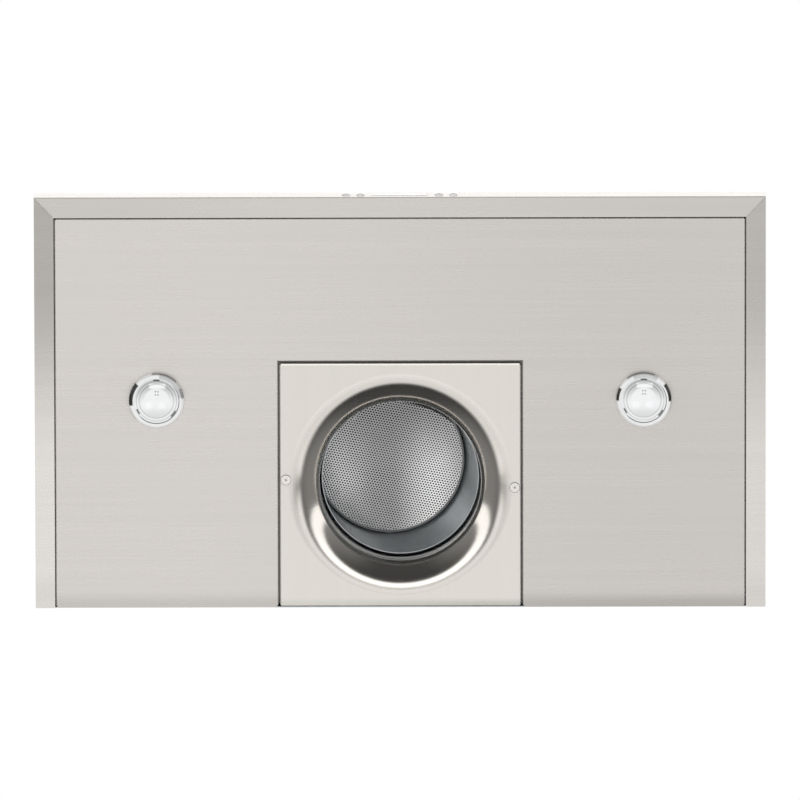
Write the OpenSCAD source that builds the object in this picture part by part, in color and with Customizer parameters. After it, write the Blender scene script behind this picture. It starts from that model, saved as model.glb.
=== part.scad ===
// Wall mount range hood with a square telescopic chimney, a round suction inlet and two lamps.
// X runs along the width, Y towards the wall and Z up. The origin lies on the wall at the underside.

/* [Canopy] */
// Width of the canopy
hood_w = 900; // [760:10:1200]
// Depth of the canopy from the wall to the front face
hood_d = 513; // [470:1:600]
// Height of the upright front and side faces
lip_h = 34; // [32:1:60]
// Rise of the sloped roof above the upright faces
roof_rise = 96; // [88:1:150]
// Thickness of the stainless sheet
sheet = 1.2; // [0.8:0.1:1.5]
// Shelf that the roof leaves round the foot of the chimney
chimney_shelf = 4; // [1:1:20]

/* [Underside] */
// Width of the return flange along the front
flange_w = 25.5; // [22:0.5:40]
// Width of the return flange along each side
side_flange_w = 24; // [20:0.5:40]
// Height of the upturned edges of the flange, the panel and the inlet plate
upturn_h = 13; // [8:1:16]
// Open seam between the flange and the bottom panel
seam = 1.2; // [0.6:0.1:2]
// Recess of the bottom panel behind the flange
face_recess = 0.5; // [0:0.1:1.5]
// Radius inside the folded sheet edges
fold_in_r = 0.3; // [0.2:0.1:2.5]
// Width of the ledge that the inlet plate is screwed to
ledge_w = 16; // [14:1:22]
// Gap between the rear edges of the underside and the back sheet
rear_gap = 0.3; // [0.2:0.1:1]

/* [Inlet plate] */
// Width of the inlet plate
plate_w = 297; // [290:1:340]
// Distance of the inlet plate's front edge from the wall
plate_d = 305; // [300:0.5:340]
// Gap at each side of the inlet plate
plate_side_gap = 2; // [1:0.5:4]
// Gap in front of the inlet plate
plate_front_gap = 3.2; // [1:0.1:6]
// Distance of the bell mouth's axis from the wall
bell_y = 154; // [150:1:158]
// Radius of the throat
throat_r = 99.5; // [97.5:0.5:101]
// Radius of the bell mouth's wide outer curve
bell_round = 46; // [30:1:48]
// Radius of its tight curve into the throat
neck_round = 18; // [8:1:20]
// Height of the throat's rim above the underside
throat_z = 55; // [50:1:70]
// Radius of the plate screws' heads
plate_screw_head_r = 6.4; // [4:0.1:8]
// Distance of the plate screws from the middle of the plate
plate_screw_x = 141; // [139:0.5:143]
// Distance of the left plate screw from the wall
plate_screw_left_y = 160; // [60:1:240]
// Distance of the right plate screw from the wall
plate_screw_right_y = 150; // [60:1:240]

/* [Inlet collar and mesh filter] */
// Gap between the throat's rim and the collar above it
collar_gap = 1.5; // [1.5:0.5:6]
// Radius inside the collar's mouth
collar_low_r = 96; // [94:0.5:97]
// Radius inside the collar's upper end
collar_top_r = 94; // [93:0.5:94]
// Sideways lean of the collar's upper end
collar_lean_x = -14.5; // [-15:0.5:0]
// Forward lean of the collar's upper end
collar_lean_y = -11.5; // [-12:0.5:0]
// Gap between the mesh filter's rim and the collar
filter_gap = 1.6; // [1.4:0.1:3]
// Height of the mesh filter's rim
filter_h = 5; // [4:0.5:8]
// Distance of the mesh filter below the collar's upper end
filter_drop = 3; // [2:0.5:8]
// Pitch of the mesh in the filter's solid
mesh_pitch = 11.5; // [11.5:0.5:20]
// Thickness of the mesh bars
mesh_bar = 1.2; // [0.8:0.1:2]

/* [Lamps] */
// Distance of each lamp from the side of the hood
lamp_side = 150; // [130:5:160]
// Distance of the lamps from the wall
lamp_y = 260; // [180:1:320]
// Radius of the lamp bezel
bezel_r = 34; // [32.5:0.5:38]
// Radius of the opening that shows the lamp's lens
lens_open_r = 28.2; // [24:0.1:28.4]
// Distance that the bezel stands below the bottom panel
bezel_drop = 9; // [8:0.5:14]
// Rounding radius of the bezel's outer edge
bezel_round = 3.4; // [2:0.1:5.6]
// Depth of the lamp housing above the bottom panel
lamp_depth = 29; // [27:1:40]

/* [Controls] */
// Radius of the push buttons
button_r = 5.3; // [4:0.1:6]
// Distance that a button stands out of the front face
button_proud = 2.5; // [2:0.1:4]
// Travel of a button
button_travel = 1.5; // [0.8:0.1:1.8]
// Distance from the middle to the inner pair of buttons
button_inner_x = 48.3; // [46:0.1:50]
// Distance between the two buttons of a pair
button_step = 17.7; // [15:0.1:20]
// Width of the display window
window_w = 70; // [40:1:74]
// Height of the display window
window_h = 10.6; // [6:0.2:12]

/* [Blower] */
// Gap between the blower box and the chimney round it
box_gap = 10.8; // [7:0.1:14]
// Height of the blower box
box_h = 270; // [262:1:300]
// Thickness of the galvanised sheet
zinc_sheet = 1; // [0.8:0.1:1.5]
// Radius of the impeller
impeller_r = 68; // [60:1:70]
// Width of the impeller
impeller_w = 92; // [70:1:96]
// Number of blades on the impeller
blade_count = 32; // [24:1:40]
// Distance of the impeller's axis from the wall
impeller_y = 178; // [174:1:182]
// Clear height between the box's floor and the scroll
plenum_h = 44; // [40:1:48]
// Width of the scroll housing
scroll_w = 110; // [106:1:116]
// Radius of the motor
motor_r = 42; // [30:1:46]
// Length of the motor
motor_len = 58; // [40:1:62]

/* [Duct outlet] */
// Outer radius of the duct collar
duct_r = 74.5; // [59.5:0.5:75]
// Height of the duct collar
duct_h = 45; // [40:1:60]
// Wall of the duct collar
duct_wall = 1.5; // [1:0.1:2]
// Height of the damper flaps above the collar's foot
flap_z = 12; // [10:1:16]
// Thickness of the damper flaps
flap_t = 1.2; // [0.8:0.1:1.6]

/* [Chimney] */
// Width of the lower chimney
chimney_w = 300; // [300:1:340]
// Depth of the lower chimney
chimney_d = 300; // [298:1:330]
// Height of the lower chimney
chimney_h = 420; // [400:5:600]
// Gap between the two chimney sections
chimney_gap = 0.5; // [0.3:0.1:1]
// Height of the upper chimney
upper_h = 418; // [400:2:600]
// Height of the upper chimney's lower edge above the roof when it is pushed down
upper_start = 92; // [60:1:120]
// Number of vent slots on each side of the upper chimney
vent_count = 7; // [3:1:10]

/* [Wall fixing] */
// Distance between the wall screws along the width
fix_x = 400; // [360:10:460]
// Distance between the wall screws in height
fix_z = 50; // [30:1:50]
// Height of the middle of the wall screws
fix_mid_z = 58; // [50:1:62]
// Radius of the holes for the wall screws
fix_r = 3; // [2.5:0.1:4]

/* [Hidden] */

$fn = 64;
cut = 1;
roof_z = lip_h + roof_rise;
roof_low_drop = 0.7 * sheet;
top_w = chimney_w + 2 * chimney_shelf;
top_d = chimney_d + chimney_shelf;

panel_hw = hood_w / 2 - side_flange_w - seam;
panel_front = hood_d - flange_w - seam;
fold_r = sheet + fold_in_r;
rear_edge = sheet + rear_gap;
side_rear = rear_edge + fold_r;
lead_w = 1.8;
lead_angle = 16;
panel_hook = 9;
hook_start_x = 95;
mitre_groove = 0.8;
mitre_depth = 0.75 * sheet;
mitre_start = 2;
face_z = face_recess;
ledge_z = upturn_h;
upturn = ledge_z - face_z;
open_hw = plate_w / 2 + plate_side_gap;
open_front = plate_d + plate_front_gap;

rim_bead_r = 1.3;
bell_turn = 48;
bell_start_r = throat_r + neck_round + (bell_round - neck_round) * sin(bell_turn);
bell_top_z = face_z + bell_round - (bell_round - neck_round) * cos(bell_turn);
m4_r = 2;
m4_clear = 0.2;
flat_head_h = 1.6;
flat_head_chamfer = 0.5;
cross_l = 3.6;
cross_w = 0.9;
cross_depth = 0.8;
screw_reach = 3;

collar_z = throat_z + rim_bead_r + collar_gap;
collar_flange_w = 11;
collar_flange_r = collar_top_r + collar_flange_w;
box_low_z = roof_z;
box_inner_z = box_low_z + zinc_sheet;
filter_top_z = roof_z - filter_drop;
filter_z = filter_top_z - filter_h;
filter_mid_z = filter_z + filter_h / 2;
filter_wall = 1;
filter_lip = 2;
filter_tab_gap = 0.8;
filter_tab_w = 8;
filter_tab_inset = 0.5;
net_gap = 0.2;

lamp_x = hood_w / 2 - lamp_side;
can_r = 31.2;
can_wall = 0.8;
can_fit = 0.3;
can_flange_r = 33;
can_flange_t = 1.2;
bezel_lip_t = 1.5;
bezel_bore_r = 29.3;
bezel_fit = 0.05;
lens_t = 3;
lens_gap = 0.2;
lens_rim_w = 2;
lens_recess = 0.6;
bowl_depth = 20;
reflector_t = 0.8;
reflector_neck_r = 9;
socket_r = 7.5;
socket_h = 10;
bulb_r = 4.6;
bulb_len = 17;
lamp_back = 8;
clip_w = 8;
clip_reach = 9;
clip_t = 0.8;
clip_root_z = 14;
clip_root_h = 1.3;
panel_clear = 0.3;

button_x = [
  -button_inner_x - button_step, -button_inner_x, button_inner_x, button_inner_x + button_step
];
button_z = lip_h / 2;
button_gap = 0.3;
button_chamfer = 0.6;
button_flange_r = button_r + 1.2;
button_flange_t = 1.2;
flange_fit = 0.3;
button_rest_gap = 0.1;
stem_r = 3;
stem_fit = 0.06;
inner_front = hood_d - sheet;
pocket_depth = button_rest_gap + button_flange_t + button_travel + 0.4;
housing_plate = pocket_depth + 2;
housing_end = 13;
housing_w = 2 * (button_inner_x + button_step + housing_end);
housing_h = 25;
housing_wall = 1.6;
housing_d = 18;
stem_end = inner_front - housing_plate - 0.4;
switch_gap = button_travel + 0.2;
switch_tip = stem_end - switch_gap;
switch_h = 3.5;
switch_w = 6;
plunger_r = 1.7;
plunger_h = 1;
board_t = 1.6;
board_front = switch_tip - plunger_h - switch_h;
board_w = housing_w - 2 * housing_wall - 1;
board_h = housing_h - 2 * housing_wall - 1;
board_lug_h = 8;
board_lug_reach = 0.3;
window_round = 0.4 * window_h;
window_proud = 0.4;
window_flange = 1.6;
window_t = 1.4;
window_fit = 0.1;
module_gap = 0.2;
module_inset_x = 3;
module_inset_z = 1;

box_w = chimney_w - 2 * (sheet + box_gap);
box_hw = box_w / 2;
box_flange = 8;
box_front_gap = 1.8;
box_rear_gap = 11.5;
box_front = chimney_d - sheet - box_flange - box_front_gap;
box_rear = rear_edge + box_rear_gap;
box_d = box_front - box_rear;
box_top_z = box_low_z + box_h;
box_seat = 6;
box_screw_share = 0.3;
cover_lap = 9;
cover_lift = 1;
cover_screw_share = 0.15;
scroll_hw = scroll_w / 2;
scroll_start_r = impeller_r + 8;
scroll_growth = 36;
tongue_angle = 70;
scroll_span = 360 - tongue_angle;
scroll_steps = 48;
scroll_inlet_r = impeller_r - 8;
scroll_end_r = scroll_start_r + scroll_growth;
scroll_low_r = scroll_start_r + scroll_growth * (270 - tongue_angle) / scroll_span;
impeller_z = box_inner_z + plenum_h + zinc_sheet + scroll_low_r;
neck_low_y = scroll_start_r * cos(tongue_angle);
neck_mid_y = (neck_low_y + scroll_end_r) / 2;
duct_y = impeller_y - neck_mid_y;
blade_t = 0.8;
blade_curve_r = 11;
blade_arc = 62;
blade_pitch = 20;
blade_depth = 12;
blade_inner_r = impeller_r - blade_depth;
ring_t = 1.5;
ring_lap = 1.5;
disc_inset = 4;
hub_r = 14;
hub_l = 24;
shaft_r = 4;
shaft_fit = 0.05;
shaft_clear = 2;
shaft_stub = 16;
shaft_in_motor = 20;
arm_t = 2;
arm_w = 14;
arm_count = 3;
arm_lap = 8;
bracket_hub_r = 26;
pan_head_r = 3.4;
pan_head_h = 2;
screw_tip = 2;
motor_face_x = scroll_hw + arm_t;
motor_cap_l = 0.3 * motor_len;
motor_waist = 4;
motor_boss_r = 12;
motor_boss_h = 5;
saddle_t = 3;
saddle_w = 16;
saddle_l = 30;
capacitor_r = 15;
capacitor_h = 46;
capacitor_y = 40;
capacitor_lift = 60;

collar_foot_w = 11;
collar_foot_r = duct_r + collar_foot_w;
collar_screw_r = duct_r + 6;
collar_foot_t = 1.2;
flap_gap = 1;
flap_axis_y = 4;
pin_r = 1.5;
pin_fit = 0.05;
flap_sleeve_r = 2.6;
pin_end_gap = 0.4;
flap_side_gap = 1.2;
stop_w = 10;
stop_depth = 5;
stop_t = 1.2;
stop_gap = 0.3;

gland_inset = 30;
gland_x = box_hw - gland_inset;
gland_y = 44;
gland_r = 8;
gland_fit = 0.2;
gland_nut_r = 12;
gland_nut_h = 5;
gland_cap_r = 9.5;
gland_cap_h = 10;
lead_r = 4;

upper_w = chimney_w - 2 * (sheet + chimney_gap);
upper_d = chimney_d - sheet - chimney_gap;
upper_z = roof_z + upper_start;
chimney_top_z = upper_z + upper_h;
wall_return = 14;
chimney_stop_w = 30;
chimney_stop_depth = 7;
vent_l = 90;
vent_h = 5;
vent_pitch = 12;
vent_top = 60;
bracket_h = 30;
bracket_d = 24;
bracket_t = 2;
bracket_drop = 8;
bracket_slot_l = 16;
bracket_slot_r = 2.75;
bracket_slot_x = 100;

terminal_x = 235;
terminal_size = [70, 34, 36];
terminal_wall = 2;
terminal_z = 30;
cover_t = 1.5;
transformer_size = [82, 30, 28];
transformer_ear = 8;
transformer_foot_t = 2;
transformer_inset = 4;

steel = [0.80, 0.79, 0.77];
zinc = [0.66, 0.68, 0.70];
chrome = [0.86, 0.87, 0.88];
dark = [0.16, 0.16, 0.17];

// Block from one corner to the opposite one
module between(lo, hi) {
  translate(lo)
    cube(hi - lo);
}

// A shape and its twin on the other side of the middle plane
module both_sides() {
  children();
  mirror([1, 0, 0])
    children();
}

// Rod or hole along Y, from y to y + length
module along_y(r, y, length) {
  translate([0, y, 0])
    rotate([-90, 0, 0])
      cylinder(r = r, h = length);
}

// Rod or hole along X, from x to x + length
module along_x(r, x, length) {
  translate([x, 0, 0])
    rotate([0, 90, 0])
      cylinder(r = r, h = length);
}

// Section of a sheet edge folded up, drawn outwards from the end of the flat sheet
module fold_section(height) {
  intersection() {
    translate([0, fold_r])
      difference() {
        circle(fold_r);
        circle(fold_r - sheet);
      }
    square([fold_r, fold_r]);
  }
  translate([fold_r - sheet, fold_r])
    square([sheet, height - fold_r]);
}

// Folded edge along X, centred, with its outer face towards +Y
module folded_edge(length, height) {
  translate([-length / 2, 0, 0])
    rotate([90, 0, 90])
      linear_extrude(length)
        fold_section(height);
}

// Screw with a low flat head and a cross recess, pointing up from z = 0
module flat_screw(head_r, length) {
  difference() {
    union() {
      translate([0, 0, flat_head_chamfer - flat_head_h])
        cylinder(r = head_r, h = flat_head_h - flat_head_chamfer);
      translate([0, 0, -flat_head_h])
        cylinder(r1 = head_r - flat_head_chamfer, r2 = head_r, h = flat_head_chamfer);
    }
    for (angle = [20, 110])
      rotate([0, 0, angle])
        between([-cross_l / 2, -cross_w / 2, -flat_head_h - cut],
                [cross_l / 2, cross_w / 2, cross_depth - flat_head_h]);
  }
  cylinder(r = m4_r, h = length);
}

// Solid with upright lower faces and a sloped roof, smaller than the canopy by inset
module canopy_block(inset, rear_y) {
  side = hood_w / 2 - inset;
  front = inset - hood_d;
  levels = inset == 0 ? [0, lip_h, roof_z] : [inset, lip_h - roof_low_drop, roof_z - inset];
  rings = [[side, front], [side, front], [top_w / 2, -top_d]];
  points = [
    for (i = [0 : 2])
      for (corner = [[-1, 0], [1, 0], [1, 1], [-1, 1]])
        [corner[0] * rings[i][0], corner[1] == 0 ? rings[i][1] : rear_y, levels[i]]
  ];
  sides = [
    for (ring = [0, 4])
      for (i = [0 : 3])
        [ring + i, ring + 4 + i, ring + 4 + (i + 1) % 4, ring + (i + 1) % 4]
  ];
  polyhedron(points = points, faces = concat([[0, 1, 2, 3]], sides, [[11, 10, 9, 8]]));
}

module window_outline(grow) {
  w = window_w + 2 * grow;
  h = window_h + 2 * grow;
  r = window_round + grow;
  square([w - 2 * r, h], center = true);
  square([w, h - 2 * r], center = true);
  for (x = [-1, 1])
    for (y = [-1, 1])
      translate([x * (w / 2 - r), y * (h / 2 - r)])
        circle(r);
}

// The window's outline as a block from y to y + depth
module window_block(grow, y, depth) {
  translate([0, y, button_z])
    rotate([-90, 0, 0])
      linear_extrude(depth)
        window_outline(grow);
}

module canopy_shell() color(steel) {
  flange_in = hood_w / 2 - side_flange_w;
  difference() {
    canopy_block(0, 0);
    canopy_block(sheet, cut);
    between([-flange_in, flange_w - hood_d, -cut], [flange_in, cut, sheet + cut]);
    between([box_seat - box_hw, box_seat - box_front, roof_z - sheet - cut],
            [box_hw - box_seat, -box_rear - box_seat, roof_z + cut]);
    for (p = box_screw_places())
      translate([p[0], p[1], roof_z - sheet - cut])
        cylinder(r = m4_r + m4_clear, h = sheet + 2 * cut);
    for (x = button_x)
      translate([x, 0, button_z])
        along_y(button_r + button_gap, -hood_d - cut, sheet + 2 * cut);
    window_block(window_fit, -hood_d - cut, sheet + 2 * cut);
    both_sides()
      translate([-hood_w / 2, -hood_d, 0])
        rotate([0, 0, atan2(flange_w, side_flange_w)])
          between([mitre_start, -mitre_groove / 2, -cut],
                  [norm([flange_w, side_flange_w]) - mitre_groove, mitre_groove / 2, mitre_depth]);
  }
  both_sides()
    between([flange_in, flange_w - hood_d, 0], [flange_in + sheet, -rear_edge, upturn_h]);
  between([-flange_in - sheet, flange_w - hood_d - sheet, 0],
          [flange_in + sheet, flange_w - hood_d, upturn_h]);
}

module back_sheet() color(zinc) {
  side = hood_w / 2 - sheet - rear_gap;
  top = roof_z - sheet - rear_gap;
  shoulder = lip_h - roof_low_drop - rear_gap;
  floor_z = face_z + sheet + rear_gap;
  slope_drop = (rear_gap + sheet) * roof_rise / (hood_w / 2 - top_w / 2);
  difference() {
    rotate([90, 0, 0])
      linear_extrude(sheet)
        polygon([
          [-side, floor_z], [side, floor_z], [side, shoulder],
          [top_w / 2 - slope_drop, top], [slope_drop - top_w / 2, top], [-side, shoulder]
        ]);
    for (x = [-1, 1])
      for (z = [-1, 1])
        translate([x * fix_x / 2, 0, fix_mid_z + z * fix_z / 2])
          along_y(fix_r, -sheet - cut, sheet + 2 * cut);
  }
}

module bottom_panel() color(steel) {
  flat_hw = panel_hw - fold_r;
  flat_front = panel_front - fold_r;
  flat_mid_y = (flat_front + side_rear) / 2;
  hole_hw = open_hw + fold_r;
  hole_front = open_front + fold_r;
  translate([0, 0, face_z])
    difference() {
      union() {
        difference() {
          between([-flat_hw, -flat_front, 0], [flat_hw, -rear_gap, sheet]);
          between([-hole_hw, -hole_front, -cut], [hole_hw, 0, sheet + cut]);
        }
        translate([0, -flat_front, 0])
          rotate([0, 0, 180])
            folded_edge(2 * flat_hw, upturn + sheet);
        both_sides() {
          translate([flat_hw, -flat_mid_y, 0])
            rotate([0, 0, -90])
              folded_edge(flat_front - side_rear, upturn + sheet);
          translate([hole_hw, -(hole_front + side_rear) / 2, 0])
            rotate([0, 0, 90])
              folded_edge(hole_front - side_rear, upturn + sheet);
          between([panel_hw - sheet, -flat_front, upturn],
                  [panel_hw + panel_hook, -side_rear, upturn + sheet]);
          between([hook_start_x, -panel_front - panel_hook, upturn],
                  [flat_hw, -panel_front + sheet, upturn + sheet]);
          between([open_hw - ledge_w, -hole_front, upturn], [open_hw + sheet, -side_rear, upturn + sheet]);
        }
        translate([0, -hole_front, 0])
          folded_edge(2 * hole_hw, upturn + sheet);
        between([-open_hw, -open_front - sheet, upturn],
                [open_hw, ledge_w / 2 - open_front, upturn + sheet]);
      }
      both_sides()
        translate([lamp_x, -lamp_y, -cut])
          cylinder(r = can_r + can_fit, h = sheet + 2 * cut);
      at_plate_screws()
        translate([0, 0, upturn - cut])
          cylinder(r = m4_r + m4_clear, h = sheet + 2 * cut);
    }
}

module inlet_plate() color(steel) {
  flat_hw = plate_w / 2 - fold_r;
  flat_front = plate_d - lead_w;
  difference() {
    union() {
      translate([0, 0, face_z]) {
        difference() {
          between([-flat_hw, -flat_front, 0], [flat_hw, -side_rear, sheet]);
          translate([0, -bell_y, -cut])
            cylinder(r = bell_start_r, h = sheet + 2 * cut);
        }
        translate([-flat_hw, -flat_front, 0])
          rotate([90, 0, 90])
            linear_extrude(2 * flat_hw)
              mirror([1, 0])
                lead_section(upturn);
        translate([0, -side_rear, 0])
          folded_edge(2 * flat_hw, upturn);
        both_sides()
          translate([flat_hw, -(flat_front + side_rear) / 2, 0])
            rotate([0, 0, -90])
              folded_edge(flat_front - side_rear, upturn);
      }
      translate([0, -bell_y, 0])
        rotate_extrude()
          bell_section();
    }
    at_plate_screws()
      translate([0, 0, face_z - cut])
        cylinder(r = m4_r + m4_clear, h = sheet + 2 * cut);
  }
}

// Section of the plate's front edge: a lead that rises a little, then an upturned edge
module lead_section(height) {
  inner = lead_w - sheet;
  rise = tan(lead_angle);
  polygon([
    [0, 0], [lead_w, lead_w * rise], [lead_w, height],
    [inner, height], [inner, inner * rise + sheet / cos(lead_angle)], [0, sheet]
  ]);
}

// Part of a ring of sheet, from one angle to another, both counted from straight down towards -X
module bend(r, from, to) {
  reach = 2 * r;
  intersection() {
    difference() {
      circle(r);
      circle(r - sheet);
    }
    polygon([[0, 0], [-reach * sin(from), -reach * cos(from)], [-reach * sin(to), -reach * cos(to)]]);
  }
}

// Section of the bell mouth: a wide curve, a tight one up to the throat, and a rolled rim
module bell_section() {
  translate([bell_start_r, face_z + bell_round])
    bend(bell_round, 0, bell_turn);
  translate([throat_r + neck_round, bell_top_z])
    bend(neck_round, bell_turn, 90);
  translate([throat_r, bell_top_z])
    square([sheet, throat_z - bell_top_z]);
  translate([throat_r + rim_bead_r, throat_z])
    circle(rim_bead_r);
}

// Placed at each plate screw, on the underside
module at_plate_screws() {
  for (place = [[-plate_screw_x, -plate_screw_left_y], [plate_screw_x, -plate_screw_right_y]])
    translate([place[0], place[1], 0])
      children();
}

module plate_screws() color(chrome) {
  at_plate_screws()
    translate([0, 0, face_z])
      flat_screw(plate_screw_head_r, upturn + sheet + screw_reach);
}

// The collar's inner radius and centre at height z
function collar_share(z) = (z - collar_z) / (roof_z - collar_z);
function collar_inner_r(z) = collar_low_r + (collar_top_r - collar_low_r) * collar_share(z);
function collar_mid(z) = [collar_lean_x * collar_share(z), collar_lean_y * collar_share(z) - bell_y, z];

// Leans the collar: its lower end stays over the bell mouth and its upper end moves aside
module leaning() {
  slant = [collar_lean_x, collar_lean_y] / (roof_z - collar_z);
  multmatrix([
    [1, 0, slant[0], -slant[0] * collar_z],
    [0, 1, slant[1], -slant[1] * collar_z - bell_y],
    [0, 0, 1, 0]
  ])
    children();
}

module inlet_collar() color(zinc) {
  rise = roof_z - collar_z;
  leaning()
    difference() {
      union() {
        translate([0, 0, collar_z])
          cylinder(r1 = collar_low_r + zinc_sheet, r2 = collar_top_r + zinc_sheet, h = rise);
        translate([0, 0, roof_z - zinc_sheet])
          cylinder(r = collar_flange_r, h = zinc_sheet);
      }
      translate([0, 0, collar_z - cut])
        cylinder(r1 = collar_inner_r(collar_z - cut), r2 = collar_inner_r(roof_z + cut), h = rise + 2 * cut);
    }
}

filter_r = collar_inner_r(filter_mid_z) - filter_gap;

// Placed at the middle of the mesh filter, at the foot of its rim
module at_filter() {
  translate(collar_mid(filter_mid_z) - [0, 0, filter_h / 2])
    children();
}

module mesh_rim() color(chrome) {
  at_filter() {
    difference() {
      cylinder(r = filter_r, h = filter_h);
      translate([0, 0, filter_wall])
        cylinder(r = filter_r - filter_wall, h = filter_h);
      translate([0, 0, -cut])
        cylinder(r = filter_r - filter_lip, h = filter_h);
    }
    tab_r = collar_inner_r(filter_mid_z) - filter_tab_gap;
    for (angle = [90, 210, 330])
      rotate([0, 0, angle])
        between([filter_r - filter_wall / 2, -filter_tab_w / 2, filter_tab_inset],
                [tab_r, filter_tab_w / 2, filter_h - filter_tab_inset]);
  }
}

// Two layers of crossing bars, one lying on the other, inside the rim
module mesh_net() color(chrome) {
  net_r = filter_r - filter_wall - net_gap;
  bars = floor((net_r - mesh_bar) / mesh_pitch);
  at_filter()
    translate([0, 0, filter_wall])
      for (layer = [0, 1])
        rotate([0, 0, 45 + 90 * layer])
          translate([0, 0, layer * mesh_bar])
            for (i = [-bars : bars]) {
              half = sqrt(net_r * net_r - pow(abs(i) * mesh_pitch + mesh_bar / 2, 2));
              between([i * mesh_pitch - mesh_bar / 2, -half, 0],
                      [i * mesh_pitch + mesh_bar / 2, half, mesh_bar]);
            }
}

// Placed at the middle of a lamp, on the lower face of the bottom panel
module at_lamp(side) {
  translate([side * lamp_x, -lamp_y, face_z])
    children();
}

module lamp_bezel(side) color(chrome) {
  at_lamp(side)
    difference() {
      rotate_extrude()
        difference() {
          union() {
            translate([0, bezel_round - bezel_drop])
              square([bezel_r, bezel_drop - bezel_round]);
            translate([0, -bezel_drop])
              square([bezel_r - bezel_round, bezel_drop]);
            intersection() {
              translate([bezel_r - bezel_round, bezel_round - bezel_drop])
                circle(bezel_round);
              translate([0, -bezel_drop])
                square([bezel_r, bezel_drop]);
            }
          }
          translate([0, -can_flange_t])
            square([can_flange_r + bezel_fit, can_flange_t + cut]);
          translate([0, bezel_lip_t - bezel_drop])
            square([bezel_bore_r, bezel_drop]);
          translate([0, -bezel_drop - cut])
            square([lens_open_r, bezel_drop]);
          translate([-bezel_r, -bezel_drop - cut])
            square([bezel_r, 2 * bezel_drop]);
        }
    }
}

module lamp_lens(side) color([0.9, 0.94, 0.95, 0.5]) {
  at_lamp(side)
    translate([0, 0, bezel_lip_t - bezel_drop])
      difference() {
        cylinder(r = bezel_bore_r - lens_gap, h = lens_t);
        translate([0, 0, lens_t - lens_recess])
          cylinder(r = lens_open_r - lens_rim_w, h = lens_t);
      }
}

module lamp_reflector(side) color(chrome) {
  rim_z = bezel_lip_t + lens_t - bezel_drop;
  rim_r = bezel_bore_r - lens_gap;
  bowl_r = rim_r - lens_rim_w;
  bowl_ball = (bowl_r * bowl_r + bowl_depth * bowl_depth) / (2 * bowl_depth);
  at_lamp(side) {
    translate([0, 0, rim_z])
      difference() {
        cylinder(r = rim_r, h = reflector_t);
        translate([0, 0, -cut])
          cylinder(r = bowl_r, h = reflector_t + 2 * cut);
      }
    translate([0, 0, rim_z])
      difference() {
        intersection() {
          translate([0, 0, bowl_depth - bowl_ball])
            sphere(r = bowl_ball + reflector_t);
          cylinder(r = rim_r, h = bowl_depth + cut);
        }
        translate([0, 0, bowl_depth - bowl_ball])
          sphere(r = bowl_ball);
        translate([0, lamp_back, 0])
          cylinder(r = reflector_neck_r, h = 2 * bowl_depth);
      }
  }
}

module lamp_socket(side) color([0.93, 0.92, 0.88]) {
  at_lamp(side)
    translate([0, lamp_back, lamp_depth - can_wall - socket_h])
      cylinder(r = socket_r, h = socket_h);
}

module lamp_bulb(side) color([0.95, 0.93, 0.85]) {
  at_lamp(side)
    translate([0, lamp_back, lamp_depth - can_wall - socket_h - bulb_len]) {
      translate([0, 0, bulb_r])
        cylinder(r = bulb_r, h = bulb_len - bulb_r);
      translate([0, 0, bulb_r])
        sphere(r = bulb_r);
    }
}

module lamp_housing(side) color(zinc) {
  at_lamp(side) {
    difference() {
      union() {
        translate([0, 0, -can_flange_t])
          cylinder(r = can_r, h = lamp_depth + can_flange_t);
        translate([0, 0, -can_flange_t])
          cylinder(r = can_flange_r, h = can_flange_t);
      }
      translate([0, 0, -can_flange_t - cut])
        cylinder(r = can_r - can_wall, h = lamp_depth + can_flange_t + cut - can_wall);
    }
    for (angle = [90, 210, 330])
      rotate([0, 0, angle])
        translate([0, clip_w / 2, 0])
          rotate([90, 0, 0])
            linear_extrude(clip_w)
              polygon([
                [can_r - can_wall / 2, clip_root_z], [can_r + clip_reach, sheet + panel_clear + clip_t],
                [can_r + clip_reach, sheet + panel_clear], [can_r - can_wall / 2, clip_root_z - clip_root_h]
              ]);
  }
}

module button(number) color(chrome) {
  translate([button_x[number - 1], 0, button_z]) {
    shoulder = button_chamfer - hood_d - button_proud;
    along_y(button_r, shoulder, button_rest_gap - inner_front - shoulder);
    translate([0, shoulder, 0])
      rotate([90, 0, 0])
        cylinder(r1 = button_r, r2 = button_r - button_chamfer, h = button_chamfer);
    along_y(button_flange_r, button_rest_gap - inner_front, button_flange_t);
    along_y(stem_r, button_rest_gap - inner_front, inner_front - button_rest_gap - stem_end);
  }
}

module control_housing() color(dark) {
  low = button_z - housing_h / 2;
  difference() {
    between([-housing_w / 2, -inner_front, low], [housing_w / 2, housing_d - inner_front, low + housing_h]);
    between([housing_wall - housing_w / 2, housing_plate - inner_front, low + housing_wall],
            [housing_w / 2 - housing_wall, housing_d + cut - inner_front, low + housing_h - housing_wall]);
    for (x = button_x)
      translate([x, 0, button_z]) {
        along_y(button_flange_r + flange_fit, -inner_front - cut, pocket_depth + cut);
        along_y(stem_r + stem_fit, -inner_front, housing_plate + cut);
      }
    window_block(window_flange + window_fit, -inner_front - cut, housing_plate + 2 * cut);
  }
}

module display_window() color([0.08, 0.08, 0.1]) {
  window_block(0, -hood_d - window_proud, window_proud + sheet + window_t);
  window_block(window_flange, -inner_front, window_t);
}

module display_module() color([0.2, 0.22, 0.24]) {
  half_w = window_w / 2 - module_inset_x;
  half_h = window_h / 2 - module_inset_z;
  between([-half_w, window_t + module_gap - inner_front, button_z - half_h],
          [half_w, -board_front, button_z + half_h]);
}

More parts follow.
